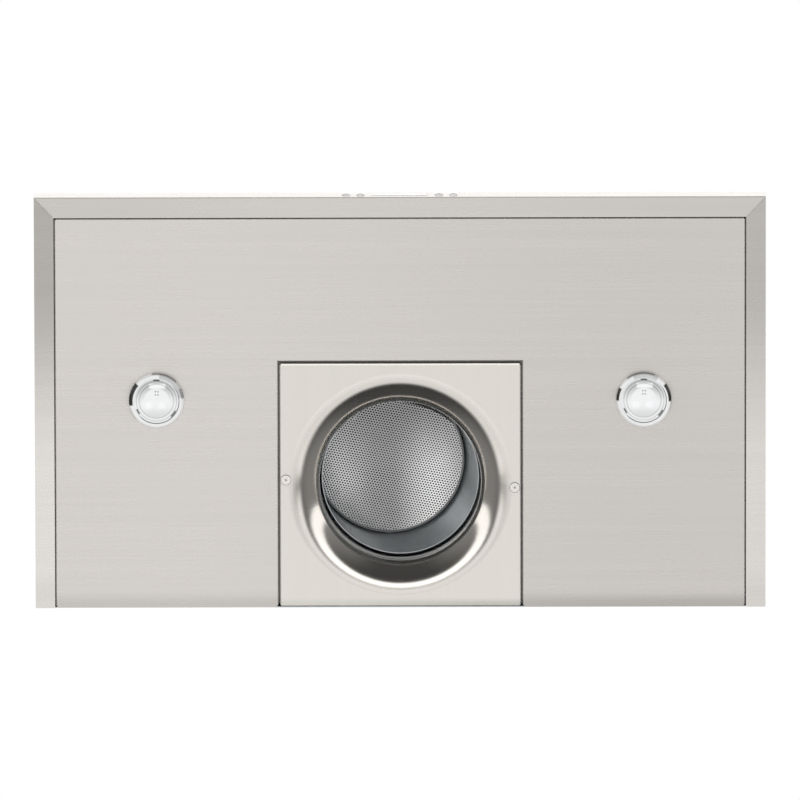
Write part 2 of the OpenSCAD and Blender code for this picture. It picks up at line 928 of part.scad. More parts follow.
module control_board() color([0.1, 0.35, 0.2]) {
  between([-board_w / 2, -board_front, button_z - board_h / 2],
          [board_w / 2, board_t - board_front, button_z + board_h / 2]);
  for (x = button_x) {
    between([x - switch_w / 2, -board_front - switch_h, button_z - switch_w / 2],
            [x + switch_w / 2, -board_front, button_z + switch_w / 2]);
    translate([x, 0, button_z])
      along_y(plunger_r, -switch_tip, plunger_h);
  }
  both_sides()
    between([board_w / 2, -board_front, button_z - board_lug_h / 2],
            [board_w / 2 + board_lug_reach, board_t - board_front, button_z + board_lug_h / 2]);
}

module blower_box() color(zinc) {
  inner = box_hw - zinc_sheet;
  difference() {
    union() {
      between([-box_hw, -box_front, box_low_z], [box_hw, -box_rear, box_top_z]);
      between([-box_hw - box_flange, -box_front - box_flange, box_low_z],
              [box_hw + box_flange, box_flange - box_rear, box_low_z + zinc_sheet]);
    }
    between([-inner, zinc_sheet - box_front, box_inner_z],
            [inner, -box_rear - zinc_sheet, box_top_z - zinc_sheet]);
    between([cover_lap - box_hw, -box_front - cut, box_inner_z + cover_lap],
            [box_hw - cover_lap, zinc_sheet + cut - box_front, box_top_z - cover_lap]);
    translate(collar_mid(roof_z) - [0, 0, cut])
      cylinder(r = collar_top_r, h = zinc_sheet + 2 * cut);
    for (p = cover_screw_places())
      translate([p[0], 0, p[1]])
        along_y(m4_r + m4_clear, -box_front - cut, zinc_sheet + 2 * cut);
    between([-scroll_hw, -impeller_y + neck_low_y, box_top_z - zinc_sheet - cut],
            [scroll_hw, -impeller_y + scroll_end_r, box_top_z + cut]);
    for (p = box_screw_places())
      translate([p[0], p[1], box_low_z - cut])
        cylinder(r = m4_r + m4_clear, h = zinc_sheet + 2 * cut);
    for (p = collar_screw_places())
      translate([p[0], p[1], box_top_z - zinc_sheet - cut])
        cylinder(r = m4_r + m4_clear, h = zinc_sheet + 2 * cut);
    translate([gland_x, -gland_y, box_top_z - zinc_sheet - cut])
      cylinder(r = gland_r + gland_fit, h = zinc_sheet + 2 * cut);
  }
}

function box_screw_places() = [
  for (x = [-1, 1])
    for (y = [-box_screw_share, box_screw_share])
      [x * (box_hw + box_flange / 2), y * box_d - (box_front + box_rear) / 2]
];

module box_screws() color(chrome) {
  for (p = box_screw_places())
    translate([p[0], p[1], box_low_z + zinc_sheet])
      mirror([0, 0, 1])
        pan_screw(zinc_sheet + sheet + screw_tip);
}

function cover_screw_places() = [
  for (x = [-1, 1])
    for (z = [cover_screw_share, 1 - cover_screw_share])
      [x * (box_hw - cover_lap / 2), box_low_z + z * box_h]
];

module blower_cover() color(zinc) {
  difference() {
    between([-box_hw, -box_front - zinc_sheet, box_inner_z + cover_lift], [box_hw, -box_front, box_top_z]);
    for (p = cover_screw_places())
      translate([p[0], 0, p[1]])
        along_y(m4_r + m4_clear, -box_front - zinc_sheet - cut, zinc_sheet + 2 * cut);
  }
}

module cover_screws() color(chrome) {
  for (p = cover_screw_places())
    translate([p[0], -box_front - zinc_sheet, p[1]])
      rotate([-90, 0, 0])
        pan_screw(2 * zinc_sheet + screw_tip);
}

// Points of the scroll in the plane across its axis: the spiral, then the neck that leads up
function scroll_points(wall, top) = concat(
  [
    for (i = [0 : scroll_steps])
      let (share = i / scroll_steps)
      let (angle = tongue_angle + share * scroll_span)
      let (r = scroll_start_r + wall + share * scroll_growth)
      [r * cos(angle), r * sin(angle)]
  ],
  [[scroll_end_r + wall, top], [neck_low_y - wall, top]]
);

// Lays a profile drawn across the blower's axis at the axis, centred along X
module across_axis(width) {
  translate([-width / 2, -impeller_y, impeller_z])
    rotate([90, 0, 90])
      linear_extrude(width)
        children();
}

module scroll_housing() color(zinc) {
  top = box_top_z - zinc_sheet - impeller_z;
  difference() {
    across_axis(scroll_w)
      polygon(scroll_points(zinc_sheet, top));
    across_axis(scroll_w - 2 * zinc_sheet)
      polygon(scroll_points(0, top + cut));
    translate([0, -impeller_y, impeller_z])
      along_x(scroll_inlet_r, -scroll_w, 2 * scroll_w);
    at_arm_ends()
      along_x(m4_r + m4_clear, 0, scroll_w);
  }
}

// One forward-curved blade, standing on the plane across the axis
module blade(width) {
  translate([blade_inner_r, 0, 0])
    rotate([0, 0, -blade_pitch])
      translate([0, blade_curve_r, 0])
        rotate([0, 0, -90])
          rotate_extrude(angle = blade_arc)
            translate([blade_curve_r - blade_t, 0])
              square([blade_t, width]);
}

module impeller() color([0.25, 0.26, 0.28]) {
  translate([0, -impeller_y, impeller_z])
    rotate([0, 90, 0])
      translate([0, 0, -impeller_w / 2]) {
        difference() {
          union() {
            for (z = [0, impeller_w - ring_t])
              translate([0, 0, z])
                difference() {
                  cylinder(r = impeller_r, h = ring_t);
                  translate([0, 0, -cut])
                    cylinder(r = blade_inner_r - ring_lap, h = ring_t + 2 * cut);
                }
            translate([0, 0, (impeller_w - ring_t) / 2])
              cylinder(r = impeller_r - disc_inset, h = ring_t);
            translate([0, 0, (impeller_w - hub_l) / 2])
              cylinder(r = hub_r, h = hub_l);
          }
          translate([0, 0, -cut])
            cylinder(r = shaft_r, h = impeller_w + 2 * cut);
        }
        for (i = [0 : blade_count - 1])
          rotate([0, 0, i * 360 / blade_count])
            translate([0, 0, ring_t / 2])
              blade(impeller_w - ring_t);
      }
}

module fan_shaft() color(chrome) {
  translate([0, -impeller_y, impeller_z])
    along_x(shaft_r, -shaft_stub, shaft_stub + motor_face_x + shaft_in_motor);
}

module motor() color([0.55, 0.56, 0.58]) {
  translate([0, -impeller_y, impeller_z])
    difference() {
      union() {
        along_x(motor_r, motor_face_x, motor_cap_l);
        along_x(motor_r - motor_waist, motor_face_x, motor_len);
        along_x(motor_r, motor_face_x + motor_len - motor_cap_l - motor_waist, motor_cap_l);
        along_x(motor_boss_r, motor_face_x, motor_len + motor_boss_h);
      }
      along_x(shaft_r + shaft_fit, motor_face_x - cut, shaft_in_motor + 1 + cut);
    }
}

module motor_bracket() color(zinc) {
  difference() {
    translate([0, -impeller_y, impeller_z]) {
      along_x(bracket_hub_r, scroll_hw, arm_t);
      for (i = [0 : arm_count - 1])
        rotate([i * 360 / arm_count, 0, 0])
          between([scroll_hw, -arm_w / 2, 0],
                  [scroll_hw + arm_t, arm_w / 2, scroll_inlet_r + arm_lap]);
    }
    translate([0, -impeller_y, impeller_z])
      along_x(shaft_r + shaft_clear, scroll_hw - cut, arm_t + 2 * cut);
    at_arm_ends()
      along_x(m4_r + m4_clear, scroll_hw - cut, arm_t + 2 * cut);
  }
}

// Small pan head screw whose head lies on the face at z = 0, with its shank pointing up
module pan_screw(length) {
  translate([0, 0, -pan_head_h])
    cylinder(r = pan_head_r, h = pan_head_h);
  cylinder(r = m4_r, h = length);
}

module motor_screws() color(chrome) {
  at_arm_ends()
    translate([scroll_hw + arm_t, 0, 0])
      rotate([0, -90, 0])
        pan_screw(arm_t + zinc_sheet + screw_tip);
}

// Placed on the blower's axis plane at the end of each bracket arm
module at_arm_ends() {
  translate([0, -impeller_y, impeller_z])
    for (i = [0 : arm_count - 1])
      rotate([i * 360 / arm_count, 0, 0])
        translate([0, 0, scroll_inlet_r + arm_lap / 2])
          children();
}

// Gland that clamps the mains lead where it enters the blower box
module cable_gland() color(dark) {
  translate([gland_x, -gland_y, box_top_z])
    difference() {
      union() {
        translate([0, 0, -zinc_sheet - gland_nut_h])
          cylinder(r = gland_r, h = zinc_sheet + gland_nut_h);
        translate([0, 0, -zinc_sheet - gland_nut_h])
          cylinder(r = gland_nut_r, h = gland_nut_h, $fn = 6);
        cylinder(r = gland_nut_r, h = gland_nut_h, $fn = 6);
        translate([0, 0, gland_nut_h])
          cylinder(r = gland_cap_r, h = gland_cap_h);
      }
      translate([0, 0, -zinc_sheet - gland_nut_h - cut])
        cylinder(r = lead_r, h = zinc_sheet + 2 * gland_nut_h + gland_cap_h + 2 * cut);
    }
}

// Capacitor can on a saddle that sits on the box's side wall
module capacitor() color([0.85, 0.86, 0.88]) {
  x = zinc_sheet - box_hw + saddle_t + capacitor_r;
  translate([x, -box_rear - capacitor_y, box_inner_z + capacitor_lift]) {
    cylinder(r = capacitor_r, h = capacitor_h);
    between([-saddle_t - capacitor_r, -saddle_w / 2, (capacitor_h - saddle_l) / 2],
            [saddle_t - capacitor_r, saddle_w / 2, (capacitor_h + saddle_l) / 2]);
  }
}

module duct_collar() color([0.2, 0.2, 0.22]) {
  inner = duct_r - duct_wall;
  stop_top_z = flap_z - flap_t / 2 - stop_gap;
  translate([0, -duct_y, box_top_z])
    difference() {
      union() {
        difference() {
          union() {
            cylinder(r = duct_r, h = duct_h);
            cylinder(r = collar_foot_r, h = collar_foot_t);
          }
          translate([0, 0, -cut])
            cylinder(r = inner, h = duct_h + 2 * cut);
        }
        for (side = [-1, 1])
          intersection() {
            cylinder(r = duct_r - duct_wall / 2, h = duct_h);
            between([-stop_w / 2, side > 0 ? inner - stop_depth : -duct_r, stop_top_z - stop_t],
                    [stop_w / 2, side > 0 ? duct_r : stop_depth - inner, stop_top_z]);
          }
      }
      for (y = [-flap_axis_y, flap_axis_y])
        translate([0, y, flap_z])
          along_x(pin_r + pin_fit, -duct_r - cut, 2 * duct_r + 2 * cut);
      for (p = collar_screw_places())
        translate([p[0], p[1] + duct_y, -cut])
          cylinder(r = m4_r + m4_clear, h = collar_foot_t + 2 * cut);
    }
}

function collar_screw_places() = [
  for (angle = [45, 135, 225, 315])
    [collar_screw_r * cos(angle), collar_screw_r * sin(angle) - duct_y, box_top_z + collar_foot_t]
];

module collar_screws() color(chrome) {
  for (p = collar_screw_places())
    translate(p)
      mirror([0, 0, 1])
        pan_screw(collar_foot_t + zinc_sheet + screw_tip);
}

// Half-round flap with a sleeve and a hinge pin along its straight edge, turned out to one side
module flap(side) color([0.75, 0.76, 0.77]) {
  disc_r = duct_r - duct_wall - flap_gap;
  half_pin = sqrt(duct_r * duct_r - flap_axis_y * flap_axis_y) - pin_end_gap;
  half_sleeve = sqrt(disc_r * disc_r - flap_axis_y * flap_axis_y) - flap_side_gap;
  translate([0, -duct_y, box_top_z + flap_z]) {
    intersection() {
      translate([0, 0, -flap_t / 2])
        cylinder(r = disc_r, h = flap_t);
      between([-half_sleeve, side > 0 ? flap_axis_y : -disc_r, -flap_t],
              [half_sleeve, side > 0 ? disc_r : -flap_axis_y, flap_t]);
    }
    translate([0, side * flap_axis_y, 0]) {
      along_x(flap_sleeve_r, -half_sleeve, 2 * half_sleeve);
      along_x(pin_r, -half_pin, 2 * half_pin);
    }
  }
}

// Chimney section open to the wall, with returns along it
module chimney_channel(w, d, h, z) {
  difference() {
    between([-w / 2, -d, z], [w / 2, 0, z + h]);
    between([sheet - w / 2, sheet - d, z - cut], [w / 2 - sheet, -sheet, z + h + cut]);
    between([wall_return - w / 2, -d / 2, z - cut], [w / 2 - wall_return, cut, z + h + cut]);
  }
}

module chimney_lower() color(steel) {
  chimney_channel(chimney_w, chimney_d, chimney_h, roof_z);
  both_sides()
    between([chimney_w / 2 - sheet - chimney_stop_depth, -chimney_d / 2 - chimney_stop_w / 2,
             upper_z - stop_gap - stop_t],
            [chimney_w / 2 - sheet / 2, chimney_stop_w / 2 - chimney_d / 2, upper_z - stop_gap]);
}

module chimney_upper() color(steel) {
  difference() {
    translate([0, -sheet - chimney_gap, 0])
      chimney_channel(upper_w, upper_d - sheet - chimney_gap, upper_h, upper_z);
    for (i = [0 : vent_count - 1])
      translate([0, -upper_d / 2, chimney_top_z - vent_top - i * vent_pitch]) {
        between([-upper_w, -vent_l / 2, -vent_h / 2], [upper_w, vent_l / 2, vent_h / 2]);
        for (y = [-vent_l / 2, vent_l / 2])
          translate([0, y, 0])
            along_x(vent_h / 2, -upper_w, 2 * upper_w);
      }
    for (p = chimney_screw_places())
      translate(p)
        along_x(m4_r + m4_clear, -2 * sheet, 4 * sheet);
  }
}

bracket_w = upper_w - 2 * sheet;
bracket_z = chimney_top_z - bracket_drop - bracket_h;
bracket_rear = -2 * sheet - chimney_gap;

function chimney_screw_places() = [
  for (x = [-1, 1])
    [x * upper_w / 2, bracket_rear - bracket_d / 2, bracket_z + bracket_h / 2]
];

module chimney_bracket() color(zinc) {
  difference() {
    between([-bracket_w / 2, bracket_rear - bracket_d, bracket_z],
            [bracket_w / 2, bracket_rear, bracket_z + bracket_h]);
    between([bracket_t - bracket_w / 2, bracket_rear - bracket_d - cut, bracket_z - cut],
            [bracket_w / 2 - bracket_t, bracket_rear - bracket_t, bracket_z + bracket_h + cut]);
    for (x = [-bracket_slot_x, bracket_slot_x])
      translate([x, 0, bracket_z + bracket_h / 2]) {
        reach = bracket_slot_l / 2 - bracket_slot_r;
        between([-reach, bracket_rear - bracket_t - cut, -bracket_slot_r],
                [reach, bracket_rear + cut, bracket_slot_r]);
        for (end = [-reach, reach])
          translate([end, 0, 0])
            along_y(bracket_slot_r, bracket_rear - bracket_t - cut, bracket_t + 2 * cut);
      }
    for (p = chimney_screw_places())
      translate(p)
        along_x(m4_r + m4_clear, -4 * sheet, 8 * sheet);
  }
}

module chimney_screws() color(chrome) {
  for (p = chimney_screw_places())
    translate(p)
      rotate([0, p[0] > 0 ? -90 : 90, 0])
        chimney_screw();
}

// Flat-headed screw from the chimney's face into the bracket
module chimney_screw() {
  head_h = 0.6 * chimney_gap;
  translate([0, 0, -head_h])
    cylinder(r = pan_head_r, h = head_h);
  cylinder(r = m4_r, h = sheet + bracket_t + screw_tip);
}

module terminal_box() color([0.9, 0.9, 0.88]) {
  size = terminal_size;
  wall = terminal_wall;
  difference() {
    between([terminal_x - size[0] / 2, -size[1] - sheet, terminal_z],
            [terminal_x + size[0] / 2, -sheet, terminal_z + size[2]]);
    between([terminal_x - size[0] / 2 + wall, -size[1] - sheet - cut, terminal_z + wall],
            [terminal_x + size[0] / 2 - wall, -sheet - wall, terminal_z + size[2] - wall]);
    translate([terminal_x, -size[1] / 2 - sheet, terminal_z - cut])
      cylinder(r = lead_r + wall, h = wall + 2 * cut);
  }
}

module terminal_cover() color([0.85, 0.85, 0.83]) {
  size = terminal_size;
  between([terminal_x - size[0] / 2, -size[1] - sheet - cover_t, terminal_z],
          [terminal_x + size[0] / 2, -size[1] - sheet, terminal_z + size[2]]);
}

module lamp_transformer() color([0.15, 0.15, 0.16]) {
  size = transformer_size;
  half_foot = size[0] / 2 + transformer_ear;
  between([-terminal_x - size[0] / 2, -size[1] - sheet, terminal_z],
          [-terminal_x + size[0] / 2, -sheet, terminal_z + size[2]]);
  between([-terminal_x - half_foot, -sheet - transformer_foot_t, terminal_z + transformer_inset],
          [-terminal_x + half_foot, -sheet, terminal_z + size[2] - transformer_inset]);
}

canopy_shell();
back_sheet();
bottom_panel();
inlet_plate();
plate_screws();
inlet_collar();
mesh_rim();
mesh_net();
lamp_bezel(-1);  // lamp_bezel_left
lamp_bezel(1);  // lamp_bezel_right
lamp_lens(-1);  // lamp_lens_left
lamp_lens(1);  // lamp_lens_right
lamp_reflector(-1);  // lamp_reflector_left
lamp_reflector(1);  // lamp_reflector_right
lamp_bulb(-1);  // lamp_bulb_left
lamp_bulb(1);  // lamp_bulb_right
lamp_socket(-1);  // lamp_socket_left
lamp_socket(1);  // lamp_socket_right
lamp_housing(-1);  // lamp_housing_left
lamp_housing(1);  // lamp_housing_right
button(1);  // button_1
button(2);  // button_2
button(3);  // button_3
button(4);  // button_4
control_housing();
control_board();
display_window();
display_module();
blower_box();
blower_cover();
cover_screws();
box_screws();
scroll_housing();
impeller();
fan_shaft();
motor();
motor_bracket();
motor_screws();
capacitor();
cable_gland();
duct_collar();
collar_screws();
flap(-1);  // flap_front
flap(1);  // flap_rear
chimney_lower();
chimney_upper();
chimney_bracket();
chimney_screws();
terminal_box();
terminal_cover();
lamp_transformer();
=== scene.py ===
"""Looks, light and camera of the wall mount range hood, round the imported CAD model.

Lengths are in metres, and in millimetres where the filter's mesh is built. +X is to the right along the
wall, +Y towards the wall and +Z up; the origin is on the wall, level with the underside.
"""

import math
from functools import partial

import bmesh
import bpy
from mathutils import Matrix, Quaternion, Vector, noise


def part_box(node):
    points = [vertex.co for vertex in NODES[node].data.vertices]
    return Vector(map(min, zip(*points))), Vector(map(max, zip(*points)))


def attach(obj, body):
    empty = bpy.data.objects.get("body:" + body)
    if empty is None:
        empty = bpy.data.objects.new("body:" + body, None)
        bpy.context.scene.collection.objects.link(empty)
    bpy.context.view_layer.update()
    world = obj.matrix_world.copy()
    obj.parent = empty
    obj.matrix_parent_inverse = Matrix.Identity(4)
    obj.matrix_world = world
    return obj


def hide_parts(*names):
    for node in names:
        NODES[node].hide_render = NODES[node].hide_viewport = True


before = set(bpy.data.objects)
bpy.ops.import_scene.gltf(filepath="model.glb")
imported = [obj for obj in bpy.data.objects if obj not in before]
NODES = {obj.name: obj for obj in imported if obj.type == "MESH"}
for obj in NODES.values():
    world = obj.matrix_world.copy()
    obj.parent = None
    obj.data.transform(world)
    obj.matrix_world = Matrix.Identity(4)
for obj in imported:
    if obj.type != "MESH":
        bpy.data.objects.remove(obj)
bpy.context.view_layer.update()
MM = 0.001

# Fitted to the edges of the hood in the photograph.
AIM = Vector((-0.0002, -0.2597, 0.0))
CAMERA_TILT = math.radians(10)
CAMERA_ROLL = 0.0021
CAMERA_DISTANCE = 26.0
CAMERA_LENS = 950.25
CLIP_RANGE = (0.1, 400.0)
SENSOR_WIDTH = 36.0


def make_camera():
    """The camera under the hood, tipped a little to show the front face."""
    data = bpy.data.cameras.new("camera")
    data.lens = CAMERA_LENS
    data.sensor_width = SENSOR_WIDTH
    data.clip_start, data.clip_end = CLIP_RANGE
    camera = bpy.data.objects.new("camera", data)
    bpy.context.scene.collection.objects.link(camera)
    back = Vector((0, -math.sin(CAMERA_TILT), -math.cos(CAMERA_TILT)))
    camera.location = AIM + back * CAMERA_DISTANCE
    camera.rotation_mode = "QUATERNION"
    roll = Quaternion((0, 0, 1), -CAMERA_ROLL)
    camera.rotation_quaternion = (-back).to_track_quat("-Z", "Y") @ roll
    bpy.context.scene.camera = camera


make_camera()


MIX_COLOUR_INPUTS = (6, 7)
MIX_COLOUR_OUTPUT = 2


class Tree:
    """A node tree that is built a node at a time. Its numbers are sockets or plain values."""

    def __init__(self, tree):
        self.tree = tree
        tree.nodes.clear()

    def add(self, kind, **settings):
        """A new node with these settings."""
        node = self.tree.nodes.new(kind)
        for key, value in settings.items():
            setattr(node, key, value)
        return node

    def put(self, socket, value):
        """A link into the socket, or its own value."""
        if isinstance(value, bpy.types.NodeSocket):
            self.tree.links.new(value, socket)
        else:
            socket.default_value = value

    def calc(self, operation, *values):
        """One step of arithmetic on one or two numbers."""
        node = self.add("ShaderNodeMath", operation=operation)
        for socket, value in zip(node.inputs, values):
            self.put(socket, value)
        return node.outputs[0]

    def chain(self, operation, values):
        """The same step from each number to the next."""
        result = values[0]
        for value in values[1:]:
            result = self.calc(operation, result, value)
        return result

    def plus(self, *values):
        """The sum of the numbers."""
        return self.chain("ADD", values)

    def times(self, *values):
        """The product of the numbers."""
        return self.chain("MULTIPLY", values)

    def most(self, *values):
        """The largest of the numbers."""
        return self.chain("MAXIMUM", values)

    def minus(self, first, second):
        """The first number less the second."""
        return self.calc("SUBTRACT", first, second)

    def rest(self, share):
        """What a share leaves of one."""
        return self.minus(1.0, share)

    def size(self, value):
        """The number without its sign."""
        return self.calc("ABSOLUTE", value)

    def blend(self, share, first, second):
        """A number between the first and the second, as the share says."""
        return self.plus(self.times(first, self.rest(share)), self.times(second, share))

    def span(self, value, low, high, to_low=0.0, to_high=1.0, kind="SMOOTHSTEP"):
        """The value's share of low to high, as a number from to_low to to_high."""
        node = self.add("ShaderNodeMapRange", interpolation_type=kind)
        for place, number in enumerate((value, low, high, to_low, to_high)):
            self.put(node.inputs[place], number)
        return node.outputs[0]

    def within(self, value, centre, inner, outer):
        """One near the centre, falling to nothing between the inner and the outer distance."""
        return self.span(self.size(self.minus(value, centre)), inner, outer, 1.0, 0.0)

    def split(self, vector):
        """The three parts of a vector."""
        node = self.add("ShaderNodeSeparateXYZ")
        self.put(node.inputs[0], vector)
        return node.outputs

    def colour_mix(self, share, first, second):
        """A colour between the first and the second, as the share says."""
        node = self.add("ShaderNodeMix", data_type="RGBA")
        self.put(node.inputs[0], share)
        for place, colour in zip(MIX_COLOUR_INPUTS, (first, second)):
            self.put(node.inputs[place], colour)
        return node.outputs[MIX_COLOUR_OUTPUT]


MASK_LOW = 0.3
MASK_HIGH = 0.7
BUMP_DEPTH = 0.001
GRAIN_DETAIL = 2.0


class Finish(Tree):
    """A material: one Principled surface and the textures that feed it."""

    def __init__(self, name, metallic=0.0):
        self.material = bpy.data.materials.new(name)
        self.material.use_nodes = True
        super().__init__(self.material.node_tree)
        output = self.add("ShaderNodeOutputMaterial")
        self.surface = self.add("ShaderNodeBsdfPrincipled")
        self.put(output.inputs["Surface"], self.surface.outputs["BSDF"])
        self.place = self.add("ShaderNodeTexCoord").outputs["Object"]
        self.x, self.y, self.z = self.split(self.place)
        self.set("Metallic", metallic)

    def set(self, name, value):
        """One of the surface's settings."""
        self.put(self.surface.inputs[name], value)

    def stretched(self, scale):
        """The place on the object, scaled along each axis, so that a texture turns to streaks."""
        node = self.add("ShaderNodeMapping")
        self.put(node.inputs["Vector"], self.place)
        self.put(node.inputs["Scale"], scale)
        return node.outputs[0]

    def grain(self, vector, scale=1.0, detail=GRAIN_DETAIL, roughness=0.5):
        """A noise texture."""
        node = self.add("ShaderNodeTexNoise")
        self.put(node.inputs["Vector"], vector)
        self.put(node.inputs["Scale"], scale)
        self.put(node.inputs["Detail"], detail)
        self.put(node.inputs["Roughness"], roughness)
        return node.outputs["Fac"]

    def bump(self, height, strength, distance=BUMP_DEPTH):
        """A relief that follows the height."""
        node = self.add("ShaderNodeBump")
        self.put(node.inputs["Strength"], strength)
        self.put(node.inputs["Distance"], distance)
        self.put(node.inputs["Height"], height)
        self.set("Normal", node.outputs[0])

    def roughen(self, mask, low, high):
        """A roughness between low and high, as the mask says."""
        self.set("Roughness", self.span(mask, MASK_LOW, MASK_HIGH, low, high, "LINEAR"))

    def tint(self, mask, dark, light, level=None):
        """A colour between dark and light, as the mask says, times what the level function gives."""
        colour = self.colour_mix(self.span(mask, MASK_LOW, MASK_HIGH), (*dark, 1), (*light, 1))
        if level is not None:
            node = self.add("ShaderNodeVectorMath", operation="SCALE")
            self.put(node.inputs[0], colour)
            self.put(node.inputs["Scale"], level(self))
            colour = node.outputs[0]
        self.set("Base Color", colour)
        return colour

    def distance(self, centre):
        """Distance in plan from a centre."""
        across = self.calc("POWER", self.minus(self.x, centre[0]), 2.0)
        deep = self.calc("POWER", self.minus(self.y, centre[1]), 2.0)
        return self.calc("SQRT", self.plus(across, deep))


def shade(colour, factor):
    """A colour made darker or lighter, up to white."""
    return tuple(min(1.0, part * factor) for part in colour)


def scaled(value, factors):
    """The value times each of the factors."""
    return [value * factor for factor in factors]


STREAKS_ACROSS = 420.0
STREAKS_ALONG = 3.0
STREAK_ROUGHNESS = 0.6
WIDE_STREAKS = 0.16
METAL_CLOUDS = 9.0
CLOUD_WEAR = 0.4
METAL_WEAR = (0.85, 1.2)
FINE_DETAIL = 3.0


def brushed(name, colour, roughness, along, contrast=0.02, relief=0.02, level=None, metallic=1.0):
    """Rolled or brushed metal: streaks along an axis, soft cloudy wear and a fine scratched bump."""
    made = Finish(name, metallic)
    run = [STREAKS_ALONG if axis == along else STREAKS_ACROSS for axis in "xyz"]
    streaks = made.grain(made.stretched(run), detail=FINE_DETAIL, roughness=STREAK_ROUGHNESS)
    wide = made.grain(made.stretched([WIDE_STREAKS * part for part in run]))
    clouds = made.grain(made.place, METAL_CLOUDS, FINE_DETAIL)
    mask = made.blend(0.5, streaks, wide)
    made.tint(mask, shade(colour, 1 - contrast), shade(colour, 1 + contrast), level)
    made.roughen(made.blend(CLOUD_WEAR, mask, clouds), *scaled(roughness, METAL_WEAR))
    made.bump(streaks, relief)
    return made


FINE_GRAIN = 300.0
PLAIN_CLOUDS = 40.0
PLAIN_DARK = 0.96
PLAIN_LIGHT = 1.03
PLAIN_WEAR = (0.85, 1.15)
SHALLOW = 0.0005


def plain(name, colour, roughness, metallic=0.0, scale=FINE_GRAIN, relief=0.1, level=None):
    """Moulded, cast or plated stuff: a fine even grain, with a little unevenness in tone and gloss."""
    made = Finish(name, metallic)
    fine = made.grain(made.place, scale, FINE_DETAIL)
    clouds = made.grain(made.place, PLAIN_CLOUDS, FINE_DETAIL)
    made.tint(clouds, shade(colour, PLAIN_DARK), shade(colour, PLAIN_LIGHT), level)
    made.roughen(clouds, *scaled(roughness, PLAIN_WEAR))
    made.bump(fine, relief, SHALLOW)
    return made


GLASS_IOR = 1.45
GLASS_RIPPLE = 60.0
GLASS_DARK = 0.98
GLASS_WEAR = (0.8, 1.2)
GLASS_RELIEF = 0.05


def clear(name, colour, roughness, level=None, through=1.0, painted_glow=0.0):
    """Glass or clear plastic with faint unevenness; milky if less than all light comes through, with a
    painted glow in its tinted colour when painted_glow is set.
    """
    made = Finish(name)
    made.set("Transmission Weight", through)
    made.set("IOR", GLASS_IOR)
    ripple = made.grain(made.place, GLASS_RIPPLE)
    made.set("Emission Color", made.tint(ripple, shade(colour, GLASS_DARK), colour, level))
    made.set("Emission Strength", painted_glow)
    made.roughen(ripple, *scaled(roughness, GLASS_WEAR))
    made.bump(ripple, GLASS_RELIEF, SHALLOW)
    return made


# The tone functions below paint light, shade and reflections into the colours. The steps of a tone are
# written as from where to where they run, then the level before and after. A line or a spot is written as
# its place, and the distances from there where it starts and ends to fade.
# Painted shade inside folds and at the throat's end: the colour there falls to this share.
INSIDE_SHADE = 0.3
SHELL_LOW, SHELL_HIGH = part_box("canopy_shell")
FLANGE_WIDTH = 0.0245
MITRE_SLOPE = 0.94
SHELL_UNDERSIDE = (0.0013, 0.002, 1.0, 0.0)
# Painted reflections on the underside's flanges, and a painted shade line at the front fold.
FLANGE_NEAR_FRONT = (-0.1, 0.1, 0.76, 0.83)
FLANGE_NEAR_WALL = (-0.1, 0.1, 1.28, 1.19)
FLANGE_FADE = (-0.41, -0.17)
FLANGE_REAR = (-0.045, -0.020, 1.0, 0.94)
FRONT_LEFT = (-0.40, -0.12, 1.02, 1.085)
FRONT_RIGHT = (-0.12, 0.42, 1.0, 0.935)
FOLD_SHADE_LINE = (0.0, 0.0017, 0.5, 1.0)


def shell_painted_light(made):
    """Painted light and shade on the canopy: side flanges that darken to the front, a front flange lighter
    near the middle, and a painted shade line at the front fold.
    """
    from_side = made.minus(SHELL_HIGH.x, made.size(made.x))
    from_front = made.minus(made.y, SHELL_LOW.y)
    under = made.span(made.z, *SHELL_UNDERSIDE)
    beside_mitre = made.calc("LESS_THAN", from_side, made.times(from_front, MITRE_SLOPE))
    on_side = made.times(under, beside_mitre, made.calc("LESS_THAN", from_side, FLANGE_WIDTH))
    near_front = made.span(made.x, *FLANGE_NEAR_FRONT, kind="LINEAR")
    near_wall = made.span(made.x, *FLANGE_NEAR_WALL, kind="LINEAR")
    flange = made.blend(made.span(made.y, *FLANGE_FADE), near_front, near_wall)
    flange = made.times(flange, made.span(made.y, *FLANGE_REAR))
    front = made.times(made.span(made.x, *FRONT_LEFT), made.span(made.x, *FRONT_RIGHT))
    front = made.times(front, made.span(from_front, *FOLD_SHADE_LINE))
    return made.blend(under, 1.0, made.blend(on_side, front, flange))


FOLD_INSIDE = (0.0025, 0.0045)
# Painted light across the panel, and painted shade towards the wall.
PANEL_ACROSS = (-0.30, 0.34, 1.025, 0.925)
PANEL_REAR = (-0.022, -0.004)
PANEL_REAR_LEVEL = (-0.30, 0.35, 0.84, 0.74)


def panel_painted_light(made):
    """Painted light and shade on the bottom panel: lighter on the left, painted shade a little darker at the
    wall, and painted shade inside its folds.
    """
    rear_level = made.span(made.x, *PANEL_REAR_LEVEL)
    rear = made.span(made.y, *PANEL_REAR, 1.0, rear_level)
    inside = made.span(made.z, *FOLD_INSIDE, 1.0, INSIDE_SHADE)
    return made.times(made.span(made.x, *PANEL_ACROSS), rear, inside)


BELL_CENTRE = (0.0, -0.154)
BELL_END = (0.126, 0.140)
BELL_FOLD = (0.1385, 0.1400)
# A dark painted reflection on the bell's rim in front, painted shade at the throat's end and rear edge, and
# a lighter painted flat.
BELL_RIM = (0.1265, 0.002, 0.010)
BELL_RIM_SHADE = 0.15
RIM_FRONT = 0.06
THROAT_END = (0.049, 0.054)
PLATE_REAR = (-0.013, -0.004)
PLATE_REAR_LEVEL = (-0.14, 0.14, 0.88, 0.74)
FLAT_LEVEL = 1.144
FLAT_METALLIC = 0.55


